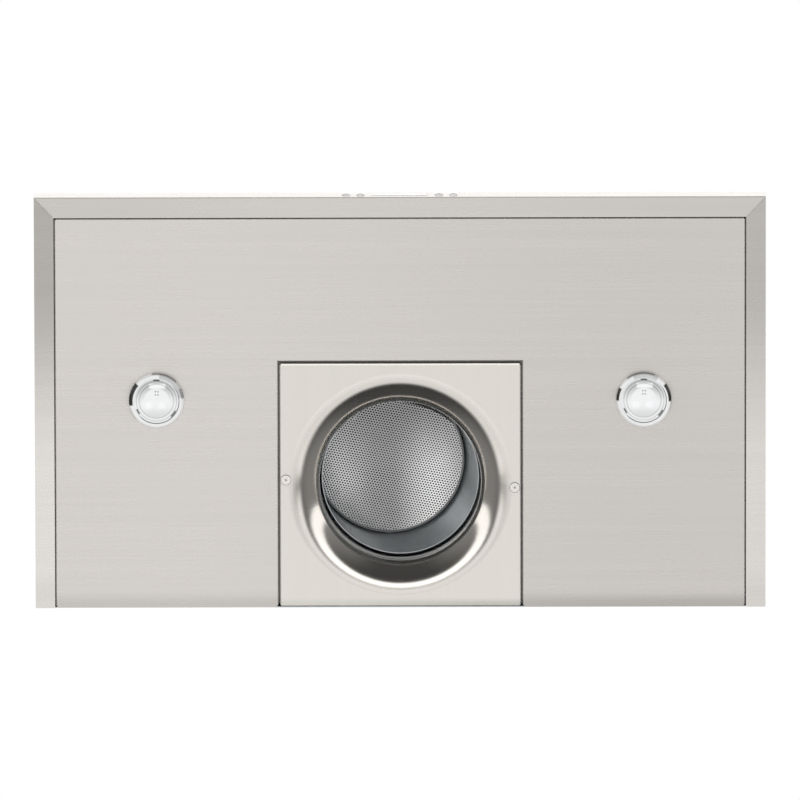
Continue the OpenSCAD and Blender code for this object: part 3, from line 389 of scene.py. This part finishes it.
def plate_painted_light(made):
    """Painted light and shade on the inlet plate: a lighter flat, a dark painted reflection on the rim in
    front, and painted shade in the folds, at the throat's end and along the rear edge.
    """
    far = made.distance(BELL_CENTRE)
    in_fold = made.times(made.span(far, *BELL_FOLD), made.span(made.z, *FOLD_INSIDE))
    hidden = made.most(in_fold, made.span(made.z, *THROAT_END))
    inside = made.span(hidden, 0.0, 1.0, 1.0, INSIDE_SHADE, "LINEAR")
    rear = made.span(made.y, *PLATE_REAR, 1.0, made.span(made.x, *PLATE_REAR_LEVEL))
    flat = made.span(far, *BELL_END, 1.0, FLAT_LEVEL)
    in_front = made.span(made.y, BELL_CENTRE[1] - RIM_FRONT, BELL_CENTRE[1], 1.0, 0.0)
    rim = made.times(made.within(far, *BELL_RIM), in_front, BELL_RIM_SHADE)
    return made.times(inside, rear, flat, made.rest(rim))


def plate_metallic(made):
    """The bell mouth is polished; the flat of the plate is brushed like the panel."""
    return made.span(made.distance(BELL_CENTRE), *BELL_END, 1.0, FLAT_METALLIC)


SCREW_FACE_Z = -0.0011
# Painted shade in the screws' cross recess and round the chamfer.
SCREW_EDGE = (0.00003, 0.0001)
SCREW_EDGE_SHADE = 0.35


def screw_painted_shade(made):
    """Painted shade on the plate screws: dark in the cross recess and round the chamfer."""
    above = made.minus(made.z, SCREW_FACE_Z)
    return made.span(above, *SCREW_EDGE, 1.0, SCREW_EDGE_SHADE)


# A lamp's marks of painted light and shade, counted from its centre: to the right, and towards the wall.
DOT_MIDDLE = (0.0003, -0.0099)
DOT_SPACING = (0.0015, 0.0020)
DOT_EDGE = 0.0011
SPOT_ACROSS = (0.008, 0.002, 0.006)
SPOT_DEEP = (0.0055, 0.002, 0.006)


def from_centre(made, centre):
    """A place counted from a lamp's centre: to the right, towards the wall, and its distance."""
    across = made.minus(made.x, centre.x)
    deep = made.minus(made.y, centre.y)
    return across, deep, made.distance(centre)


def four_dots(made, across, deep, inner):
    """One on four small dots, two by two: painted shade for small holes."""
    beside = made.size(made.minus(across, DOT_MIDDLE[0]))
    ahead = made.size(made.minus(deep, DOT_MIDDLE[1]))
    columns = made.within(beside, DOT_SPACING[0], inner, DOT_EDGE)
    return made.times(columns, made.within(ahead, DOT_SPACING[1], inner, DOT_EDGE))


def two_highlight_spots(made, across, deep):
    """One on two soft spots of painted highlight, side by side."""
    return made.times(made.within(made.size(across), *SPOT_ACROSS), made.within(deep, *SPOT_DEEP))


# Painted shade and highlights on the reflectors.
BOWL_LEVEL = 0.90
BOWL_FIELD_ACROSS = (0.0, 0.008, 0.020)
BOWL_FIELD_DEEP = (-0.007, 0.006, 0.013)
BOWL_FIELD_DARK = 0.12
BOWL_HIGHLIGHT = 0.12
BOWL_HOLE = 0.0006
BOWL_HOLE_DARK = 0.75


def reflector_painted_light(made, centre):
    """Painted light and shade on a reflector: four dots of painted shade for small holes, a greyer field of
    painted shade at the front and two painted highlights.
    """
    across, deep, _ = from_centre(made, centre)
    field = made.times(made.within(across, *BOWL_FIELD_ACROSS), made.within(deep, *BOWL_FIELD_DEEP))
    spots = two_highlight_spots(made, across, deep)
    level = made.minus(BOWL_LEVEL, made.times(field, BOWL_FIELD_DARK))
    level = made.plus(level, made.times(spots, BOWL_HIGHLIGHT))
    holes = four_dots(made, across, deep, BOWL_HOLE)
    return made.times(level, made.rest(made.times(holes, BOWL_HOLE_DARK)))


EDGE_LINE = (0.0278, 0.0002, 0.0007)
EDGE_SLANT = (0.8, 0.9)
EDGE_STRETCH = (-0.006, 0.008)
CLIPS = ((-1.57, 0.12), (0.65, 0.14), (2.62, 0.10))
CLIP_FADE = 0.06
CLIP_RING = (0.0262, 0.0006, 0.0012)
LENS_DOT = 0.0005
LENS_DOT_DARK = 0.75


def lens_lines(made, across, deep, far):
    """The dark lines of a lens: a painted shadow along a stretch of its edge, dark marks at three clips, and
    four dots of painted shade.
    """
    slant = made.plus(made.times(across, EDGE_SLANT[0]), made.times(deep, EDGE_SLANT[1]))
    line = made.times(made.within(far, *EDGE_LINE), made.span(slant, *EDGE_STRETCH))
    angle = made.calc("ARCTAN2", deep, across)
    for turn, wide in CLIPS:
        clip = made.times(made.within(angle, turn, wide, wide + CLIP_FADE), made.within(far, *CLIP_RING))
        line = made.most(line, clip)
    dots = four_dots(made, across, deep, LENS_DOT)
    return made.most(line, made.times(dots, LENS_DOT_DARK))


FIELD_RING = (0.0215, 0.004, 0.007)
FIELD_FRONT = (-0.018, 0.004, 1.0, 0.0)
FIELD_DARK = 0.28
INNER_RING = (0.0212, 0.0003, 0.0012)
OUTER_RING = (0.0247, 0.0002, 0.0010)
RING_DARK = 0.24
BOWL_DISC = (0.0, 0.020, 0.0215)
BOWL_REAR = (0.006, 0.018)
BOWL_REAR_DARK = 0.14


def lens_painted_shade(made, deep, far, bright):
    """The soft painted shade of a lens: a field in front, two thin rings, and the bowl towards the wall."""
    field = made.times(made.within(far, *FIELD_RING), made.span(deep, *FIELD_FRONT), made.rest(bright))
    rings = made.most(made.within(far, *INNER_RING), made.within(far, *OUTER_RING))
    bowl = made.times(made.within(far, *BOWL_DISC), made.span(deep, *BOWL_REAR))
    return made.plus(made.times(field, FIELD_DARK), made.times(rings, RING_DARK),
                     made.times(bowl, BOWL_REAR_DARK))


# Painted highlights and shade on the lenses.
LENS_LEVEL = 0.95
LENS_HIGHLIGHT = 0.06
LENS_LINE_DARK = 0.85
LENS_SPOT_SHIFT = 0.0015
BAR_ACROSS = (0.001, 0.009, 0.011)
BAR_DEEP = (-0.0187, 0.002, 0.004)


def lens_painted_light(made, centre):
    """Painted light and shade on a lens: its dark lines, its soft painted shade, a painted highlight bar in
    front and two painted highlight spots.
    """
    across, deep, far = from_centre(made, centre)
    bar = made.times(made.within(across, *BAR_ACROSS), made.within(deep, *BAR_DEEP))
    spots = two_highlight_spots(made, made.plus(across, LENS_SPOT_SHIFT), deep)
    level = made.minus(LENS_LEVEL, lens_painted_shade(made, deep, far, bar))
    level = made.plus(level, made.times(made.most(spots, bar), LENS_HIGHLIGHT))
    lines = lens_lines(made, across, deep, far)
    return made.times(level, made.rest(made.times(lines, LENS_LINE_DARK)))


# The painted reflections on each bezel: the turn from straight right, half the width, the radius where
# the mark starts, and how dark it is.
BEZEL_PAINTED_REFLECTIONS = {
    "left": ((3.42, 0.41, 0.0290, 0.96), (-1.25, 0.45, 0.0329, 0.80), (-0.80, 0.62, 0.0280, 0.34),
             (-0.30, 0.16, 0.0305, 0.50), (2.62, 0.20, 0.0329, 0.55)),
    "right": ((-0.31, 0.31, 0.0300, 0.96), (3.38, 0.21, 0.0302, 0.96), (-1.69, 0.49, 0.0329, 0.80),
              (-1.50, 0.45, 0.0280, 0.30), (0.22, 0.22, 0.0329, 0.50)),
}
MARK_END = 0.07
MARK_START = 0.0008


def bezel_painted_reflections(made, centre, marks):
    """Painted reflections on a bezel: black arcs at the sides, a thin dark line in front and grey stretches.
    """
    across, deep, far = from_centre(made, centre)
    level = 1.0
    for turn, wide, start, dark in marks:
        along = made.plus(made.times(across, math.cos(turn)), made.times(deep, math.sin(turn)))
        facing = made.span(made.calc("DIVIDE", along, far), math.cos(wide + MARK_END), math.cos(wide))
        mark = made.times(facing, made.span(far, start, start + MARK_START), dark)
        level = made.times(made.rest(mark), level)
    return level


STEEL = (0.784, 0.751, 0.716)
FLANGE = (0.712, 0.686, 0.655)
PLATE = (0.79, 0.757, 0.714)
ZINC = (0.50, 0.53, 0.56)
SCROLL = (0.16, 0.17, 0.18)
ALUMINIUM = (0.72, 0.73, 0.74)
SHELL_STEEL = brushed("steel_canopy", FLANGE, 0.26, "x", level=shell_painted_light, metallic=0.6)
PANEL_STEEL = brushed("steel_panel", STEEL, 0.26, "x", level=panel_painted_light, metallic=0.55)
PLATE_STEEL = brushed("steel_plate", PLATE, 0.14, "y", contrast=0.012, relief=0.01, level=plate_painted_light)
PLATE_STEEL.set("Metallic", plate_metallic(PLATE_STEEL))
CHIMNEY_STEEL = brushed("steel_chimney", STEEL, 0.26, "z", metallic=0.72)
CHIMNEY_TOP_STEEL = brushed("steel_chimney_top", STEEL, 0.26, "z", metallic=0.72)
ZINC_SHEET = brushed("zinc_sheet", ZINC, 0.34, "z", contrast=0.1, relief=0.2, metallic=0.8)
SCROLL_SHEET = brushed("scroll_sheet", SCROLL, 0.4, "z", contrast=0.1, relief=0.2)
FLAP_METAL = brushed("flap_aluminium", ALUMINIUM, 0.35, "x", contrast=0.04, relief=0.1)
NET_METAL = plain("net_aluminium", ALUMINIUM, 0.3, 1.0, relief=0.05)
# The rim is made near black as painted shade, standing for the shadow gap round the mesh.
RIM_SHADE_METAL = plain("rim_steel", (0.16, 0.165, 0.17), 0.35, 1.0, relief=0.05)
COLLAR_ZINC = plain("collar_zinc", (0.60, 0.645, 0.67), 0.22, 0.5, relief=0.05)
BUTTON_METAL = plain("button_metal", (0.96, 0.96, 0.96), 0.16, 1.0, relief=0.02)
PLATE_SCREW = plain("plate_screw_steel", (0.84, 0.81, 0.77), 0.13, 1.0, relief=0.01, level=screw_painted_shade)
SCREW_STEEL = plain("screw_steel", (0.76, 0.76, 0.75), 0.1, 1.0, relief=0.02)
MOTOR_METAL = plain("motor_metal", (0.36, 0.37, 0.38), 0.45, 1.0, scale=500.0, relief=0.4)
IMPELLER = plain("impeller_plastic", (0.035, 0.035, 0.038), 0.42, relief=0.3)
BLACK_PLASTIC = plain("black_plastic", (0.02, 0.02, 0.022), 0.45, relief=0.3)
WHITE_PLASTIC = plain("white_plastic", (0.82, 0.82, 0.79), 0.38)
BOARD = plain("circuit_board", (0.02, 0.14, 0.06), 0.4)
WINDOW = plain("window_plastic", (0.88, 0.88, 0.88), 0.12, relief=0.01)
DISPLAY = plain("display_grey", (0.2, 0.2, 0.21), 0.4)
CERAMIC = plain("ceramic", (0.82, 0.81, 0.77), 0.5)
BULB_GLASS = clear("bulb_glass", (0.99, 0.98, 0.96), 0.03)

REFLECTOR = (0.95, 0.955, 0.96)
LENS = (0.985, 0.99, 0.995)
CHROME = (0.97, 0.975, 0.98)


def middle(node):
    """The middle of a CAD node's box."""
    low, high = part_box(node)
    return (low + high) / 2


def lamp_finishes(side):
    """The finishes of one lamp's pieces, with the light and shade painted on its reflector, lens and bezel,
    and a faint painted glow in the lens.
    """
    centre = middle("lamp_lens_" + side)
    marks = BEZEL_PAINTED_REFLECTIONS[side]
    return {
        "lamp_reflector_" + side: plain("reflector_" + side, REFLECTOR, 0.3, 0.35, relief=0.02,
                                        level=partial(reflector_painted_light, centre=centre)),
        # The lens has a faint painted glow that lifts it towards white.
        "lamp_lens_" + side: clear("lens_glass_" + side, LENS, 0.03, partial(lens_painted_light, centre=centre),
                                   through=0.25, painted_glow=0.18),
        "lamp_bezel_" + side: plain("chrome_" + side, CHROME, 0.08, 0.15, relief=0.01,
                                    level=partial(bezel_painted_reflections, centre=centre, marks=marks)),
        "lamp_bulb_" + side: BULB_GLASS,
        "lamp_socket_" + side: CERAMIC,
        "lamp_housing_" + side: ZINC_SHEET,
    }


NODE_FINISH = {
    "canopy_shell": SHELL_STEEL, "bottom_panel": PANEL_STEEL, "back_sheet": ZINC_SHEET,
    "inlet_plate": PLATE_STEEL, "plate_screws": PLATE_SCREW, "inlet_collar": COLLAR_ZINC,
    "mesh_rim": RIM_SHADE_METAL, "mesh_net": NET_METAL,
    **lamp_finishes("left"), **lamp_finishes("right"),
    "button_1": BUTTON_METAL, "button_2": BUTTON_METAL,
    "button_3": BUTTON_METAL, "button_4": BUTTON_METAL,
    "control_housing": BLACK_PLASTIC, "control_board": BOARD,
    "display_window": WINDOW, "display_module": DISPLAY,
    "blower_box": ZINC_SHEET, "blower_cover": ZINC_SHEET,
    "cover_screws": SCREW_STEEL, "box_screws": SCREW_STEEL,
    "scroll_housing": SCROLL_SHEET, "impeller": IMPELLER, "fan_shaft": SCREW_STEEL,
    "motor": MOTOR_METAL, "motor_bracket": ZINC_SHEET, "motor_screws": SCREW_STEEL,
    "capacitor": WHITE_PLASTIC, "cable_gland": BLACK_PLASTIC,
    "duct_collar": ZINC_SHEET, "collar_screws": SCREW_STEEL,
    "flap_front": FLAP_METAL, "flap_rear": FLAP_METAL,
    "chimney_lower": CHIMNEY_STEEL, "chimney_upper": CHIMNEY_TOP_STEEL,
    "chimney_bracket": ZINC_SHEET, "chimney_screws": SCREW_STEEL,
    "terminal_box": BLACK_PLASTIC, "terminal_cover": BLACK_PLASTIC,
    "lamp_transformer": WHITE_PLASTIC,
}


def dress_nodes():
    """Each CAD node gets its finish."""
    for name, finish in NODE_FINISH.items():
        NODES[name].data.materials.clear()
        NODES[name].data.materials.append(finish.material)


dress_nodes()


def new_piece(name, data, finish, body, *replaced):
    """A piece of the scene that rides on a body, in the place of the CAD nodes named."""
    piece = bpy.data.objects.new(name, data)
    bpy.context.scene.collection.objects.link(piece)
    data.materials.append(finish.material)
    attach(piece, body)
    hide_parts(*replaced)


# The filter's mesh, in millimetres.
MESH_MIDDLE = middle("mesh_net") / MM
MESH_RADIUS = (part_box("mesh_net")[1].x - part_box("mesh_net")[0].x) / 2 / MM
MESH_THICKNESS = 0.5
MESH_PITCH = 3.4
MESH_TURN = math.radians(11.4)
HOLE_RADIUS = 1.12
WEB_RISE = 0.05
WAVE_RISE = 0.35
WAVE_SCALE = 0.02
WAVE_PLANE = 0.3
CREASE_CENTRE = Vector((-2.8, -132.0))
CREASE_RADIUS = 102.5
CREASE_SLOPE = 0.45
CREASE_START = -15.0
CREASE_RUN = 45.0
LATTICE = 6
# A cell's outline: the six corners of its hexagon and the middles of its sides.
HEX_RING = (
    (3, 0), (2, 2), (0, 3), (-2, 4), (-3, 3), (-4, 2),
    (-3, 0), (-2, -2), (0, -3), (2, -4), (3, -3), (4, -2),
)
CORNERS = len(HEX_RING)
LIP_COVER = 1.0
SQUEEZE = 0.3
CELL_REACH = 0.8


def beyond_crease(x, y):
    """How far a place lies past the crease, times how much the crease counts there."""
    past = math.hypot(x - CREASE_CENTRE.x, y - CREASE_CENTRE.y) - CREASE_RADIUS
    share = min(1.0, max(0.0, (x - CREASE_START) / CREASE_RUN))
    return max(0.0, past) * share * share


def mesh_height(x, y):
    """Rise of the mesh at a place: faint waves, and the edge that is bent down at the front right."""
    wave = WAVE_RISE * noise.noise(Vector((x * WAVE_SCALE, y * WAVE_SCALE, WAVE_PLANE)))
    return wave - CREASE_SLOPE * beyond_crease(x, y)


def lattice_place(a, b):
    """The place of a lattice point, counted in sixths of the pitch."""
    u = (a + b / 2) * MESH_PITCH / LATTICE
    v = b * math.sqrt(0.75) * MESH_PITCH / LATTICE
    turned = Vector((u, v))
    turned.rotate(Matrix.Rotation(MESH_TURN, 2))
    return MESH_MIDDLE.x + turned.x, MESH_MIDDLE.y + turned.y


def drawn_in(x, y):
    """A place past the rim's lip is drawn in, so that the last cells end under the lip."""
    away = Vector((x - MESH_MIDDLE.x, y - MESH_MIDDLE.y))
    edge = MESH_RADIUS - LIP_COVER
    if away.length > edge:
        away *= (edge + (away.length - edge) * SQUEEZE) / away.length
    return MESH_MIDDLE.x + away.x, MESH_MIDDLE.y + away.y


def mesh_cells():
    """The hexagons of the lattice that lie inside the disc, or reach into it."""
    steps = math.ceil((MESH_RADIUS + CELL_REACH) / (MESH_PITCH * math.sqrt(0.75)))
    for row in range(-steps, steps + 1):
        for column in range(-steps, steps + 1):
            x, y = lattice_place(LATTICE * column, LATTICE * row)
            if math.hypot(x - MESH_MIDDLE.x, y - MESH_MIDDLE.y) < MESH_RADIUS + CELL_REACH:
                yield column, row


class PerforatedSheet:
    """A sheet with staggered holes between slightly raised webs, built a cell at a time."""

    def __init__(self):
        self.shape = bmesh.new()
        self.known = {}
        self.walls = {}

    def vertex(self, key, x, y, z):
        """The sheet's vertex at a place, the same one each time it is asked for."""
        if key not in self.known:
            x, y = drawn_in(x, y)
            height = MESH_MIDDLE.z + z + mesh_height(x, y)
            self.known[key] = self.shape.verts.new((x * MM, y * MM, height * MM))
        return self.known[key]

    def rim(self, column, row, corner, side):
        """A vertex on the outline that a cell shares with its neighbours."""
        a, b = HEX_RING[corner % CORNERS]
        a, b = a + LATTICE * column, b + LATTICE * row
        return self.vertex((a, b, side), *lattice_place(a, b), side * (MESH_THICKNESS / 2 + WEB_RISE))

    def hole(self, column, row, corner, side):
        """A vertex on the edge of a cell's hole."""
        corner %= CORNERS
        x, y = lattice_place(LATTICE * column, LATTICE * row)
        angle = 2 * math.pi * corner / CORNERS + MESH_TURN
        place = (x + HOLE_RADIUS * math.cos(angle), y + HOLE_RADIUS * math.sin(angle))
        return self.vertex((column, row, corner, side), *place, side * MESH_THICKNESS / 2)

    def add_cell(self, cell):
        """The web round one hole, on both sides, and the wall inside the hole."""
        for corner in range(CORNERS):
            after = corner + 1
            for side in (1, -1):
                face = [self.rim(*cell, corner, side), self.rim(*cell, after, side),
                        self.hole(*cell, after, side), self.hole(*cell, corner, side)]
                self.shape.faces.new(face[::side])
            self.shape.faces.new([self.hole(*cell, corner, 1), self.hole(*cell, after, 1),
                                  self.hole(*cell, after, -1), self.hole(*cell, corner, -1)])
            wall = [self.rim(*cell, corner, -1), self.rim(*cell, after, -1),
                    self.rim(*cell, after, 1), self.rim(*cell, corner, 1)]
            self.walls.setdefault(frozenset(wall[:2]), []).append(wall)

    def close(self):
        """Walls where a cell has no neighbour."""
        for walls in self.walls.values():
            if len(walls) == 1:
                self.shape.faces.new(walls[0])


def perforated_mesh():
    """The filter's disc."""
    sheet = PerforatedSheet()
    for cell in mesh_cells():
        sheet.add_cell(cell)
    sheet.close()
    data = bpy.data.meshes.new("filter_mesh")
    sheet.shape.to_mesh(data)
    sheet.shape.free()
    return data


# Painted light and shade on the mesh: counted in radii from its middle, and in metres at the crease.
MESH_LEVEL = 0.34
MESH_BEHIND = (-0.85, 0.35)
MESH_BEHIND_LIGHT = 0.12
MESH_RIGHT = (0.62, 0.05, 0.62)
MESH_RIGHT_LIGHT = 0.52
MESH_LEFT = (-0.72, 0.05, 0.60)
MESH_LEFT_END = (0.35, 0.85, 1.0, 0.2)
MESH_LEFT_LIGHT = 0.26
CREASE_ACROSS = (-0.010, 0.020)
CREASE_LINE = (0.0, 0.0003, 0.0010)
CREASE_SHADE = 0.8
CREASE_EDGE = (0.0008, 0.004)
CREASE_EDGE_HIGHLIGHT = 0.35


def mesh_painted_light(made):
    """Painted light and shade on the mesh: dark in front, painted light at both sides behind, and a painted
    shade line at the crease with a painted highlight on its edge.
    """
    radius = MESH_RADIUS * MM
    u = made.calc("DIVIDE", made.minus(made.x, MESH_MIDDLE.x * MM), radius)
    v = made.calc("DIVIDE", made.minus(made.y, MESH_MIDDLE.y * MM), radius)
    behind = made.span(v, *MESH_BEHIND)
    right = made.times(behind, made.within(u, *MESH_RIGHT), MESH_RIGHT_LIGHT)
    left = made.times(behind, made.within(u, *MESH_LEFT), made.span(v, *MESH_LEFT_END), MESH_LEFT_LIGHT)
    level = made.plus(left, right, made.plus(MESH_LEVEL, made.times(behind, MESH_BEHIND_LIGHT)))
    past = made.minus(made.distance(CREASE_CENTRE * MM), CREASE_RADIUS * MM)
    share = made.span(made.x, *CREASE_ACROSS)
    edge = made.times(made.span(past, *CREASE_EDGE), share, CREASE_EDGE_HIGHLIGHT)
    crease = made.times(made.within(past, *CREASE_LINE), share, CREASE_SHADE)
    return made.times(made.plus(level, edge), made.rest(crease))


MESH_METAL = plain("mesh_aluminium", (0.96, 0.965, 0.97), 0.2, 1.0, relief=0.05, level=mesh_painted_light)
new_piece("filter_mesh", perforated_mesh(), MESH_METAL, "filter", "mesh_net")

FLOOR_DROP = 45.0
FLOOR_SIZE = 150.0
FLOOR_SEGMENTS = 8
FLOOR_CLOUDS = 0.4
FLOOR_ROUGHNESS = 0.8
FLOOR_DARK = (0.84, 0.84, 0.83)
FLOOR_LIGHT = (0.87, 0.87, 0.86)


def make_floor():
    """A plain pale floor, far enough down that no camera stands under it, and seen by cameras only."""
    made = Finish("floor_paint")
    made.tint(made.grain(made.place, FLOOR_CLOUDS), FLOOR_DARK, FLOOR_LIGHT)
    made.set("Roughness", FLOOR_ROUGHNESS)
    shape = bmesh.new()
    bmesh.ops.create_grid(shape, x_segments=FLOOR_SEGMENTS, y_segments=FLOOR_SEGMENTS, size=FLOOR_SIZE)
    data = bpy.data.meshes.new("stage_floor")
    shape.to_mesh(data)
    shape.free()
    data.materials.append(made.material)
    floor = bpy.data.objects.new("stage_floor", data)
    floor.location = (0, 0, -FLOOR_DROP)
    floor.visible_glossy = False
    floor.visible_diffuse = False
    floor.visible_transmission = False
    bpy.context.scene.collection.objects.link(floor)


make_floor()

# The studio that shines on metal, by the direction that a ray takes.
STUDIO_BEND = 0.1
LIGHT_START = (0.16, 0.21)
LIGHT_END = (0.39, 0.46, 1.0, 0.0)
LIGHT_ACROSS = (0.2, 0.9, 1.5, 1.05)
GROUND_STRETCH = 1.5
GROUND_MIDDLE = 0.23
GROUND_EDGE = (0.34, 0.48, 1.0, 0.0)
BAND_PLACE = (0.12, 0.0, 0.085)
BAND_ACROSS = (0.1, 0.5, 0.35, 0.9)
DIM_ACROSS = (0.25, 0.95, 0.06, 0.24)
CEILING = (0.0, 0.9, 0.5, 1.4)
HORIZON = (-0.15, 0.25)
WHITE = (1, 1, 1, 1)
STUDIO_WHITE = (1.0, 0.995, 0.985, 1)


def long_light(made, reach, side):
    """The long light in front: brighter in the middle, and nearer to the hood's middle at its ends."""
    strip = made.times(made.span(reach, *LIGHT_START), made.span(reach, *LIGHT_END))
    return made.times(strip, made.span(side, *LIGHT_ACROSS))


def pale_ground(made, reach, side, back):
    """The pale oval ground, with a darker band before and behind straight down."""
    wide = made.calc("POWER", made.calc("DIVIDE", side, GROUND_STRETCH), 2.0)
    deep = made.calc("POWER", made.minus(back, GROUND_MIDDLE), 2.0)
    ground = made.span(made.calc("SQRT", made.plus(wide, deep)), *GROUND_EDGE)
    band = made.within(made.size(reach), *BAND_PLACE)
    return made.times(ground, made.rest(made.times(band, made.span(side, *BAND_ACROSS))))


def studio_level(made):
    """Brightness of the studio: the light and the ground below, and a ceiling that brightens upwards."""
    across, back, up = made.split(made.add("ShaderNodeTexCoord").outputs["Generated"])
    side = made.size(across)
    reach = made.plus(made.times(back, -1.0), made.times(side, STUDIO_BEND))
    bright = made.most(long_light(made, reach, side), pale_ground(made, reach, side, back))
    below = made.plus(bright, made.span(side, *DIM_ACROSS))
    return made.blend(made.span(up, *HORIZON), below, made.span(up, *CEILING))


def make_world():
    """A white room for the camera and for matt things; metal and glass mirror the studio."""
    world = bpy.data.worlds.new("studio")
    bpy.context.scene.world = world
    world.use_nodes = True
    made = Tree(world.node_tree)
    seen = made.add("ShaderNodeBackground")
    made.put(seen.inputs["Color"], WHITE)
    mirrored = made.add("ShaderNodeBackground")
    made.put(mirrored.inputs["Color"], STUDIO_WHITE)
    made.put(mirrored.inputs["Strength"], studio_level(made))
    ray = made.add("ShaderNodeLightPath").outputs
    chosen = made.add("ShaderNodeMixShader")
    made.put(chosen.inputs[0], made.times(ray["Is Glossy Ray"], made.rest(ray["Is Transmission Ray"])))
    made.put(chosen.inputs[1], seen.outputs[0])
    made.put(chosen.inputs[2], mirrored.outputs[0])
    output = made.add("ShaderNodeOutputWorld")
    made.put(output.inputs["Surface"], chosen.outputs[0])


make_world()
bpy.context.scene.view_settings.view_transform = "Standard"
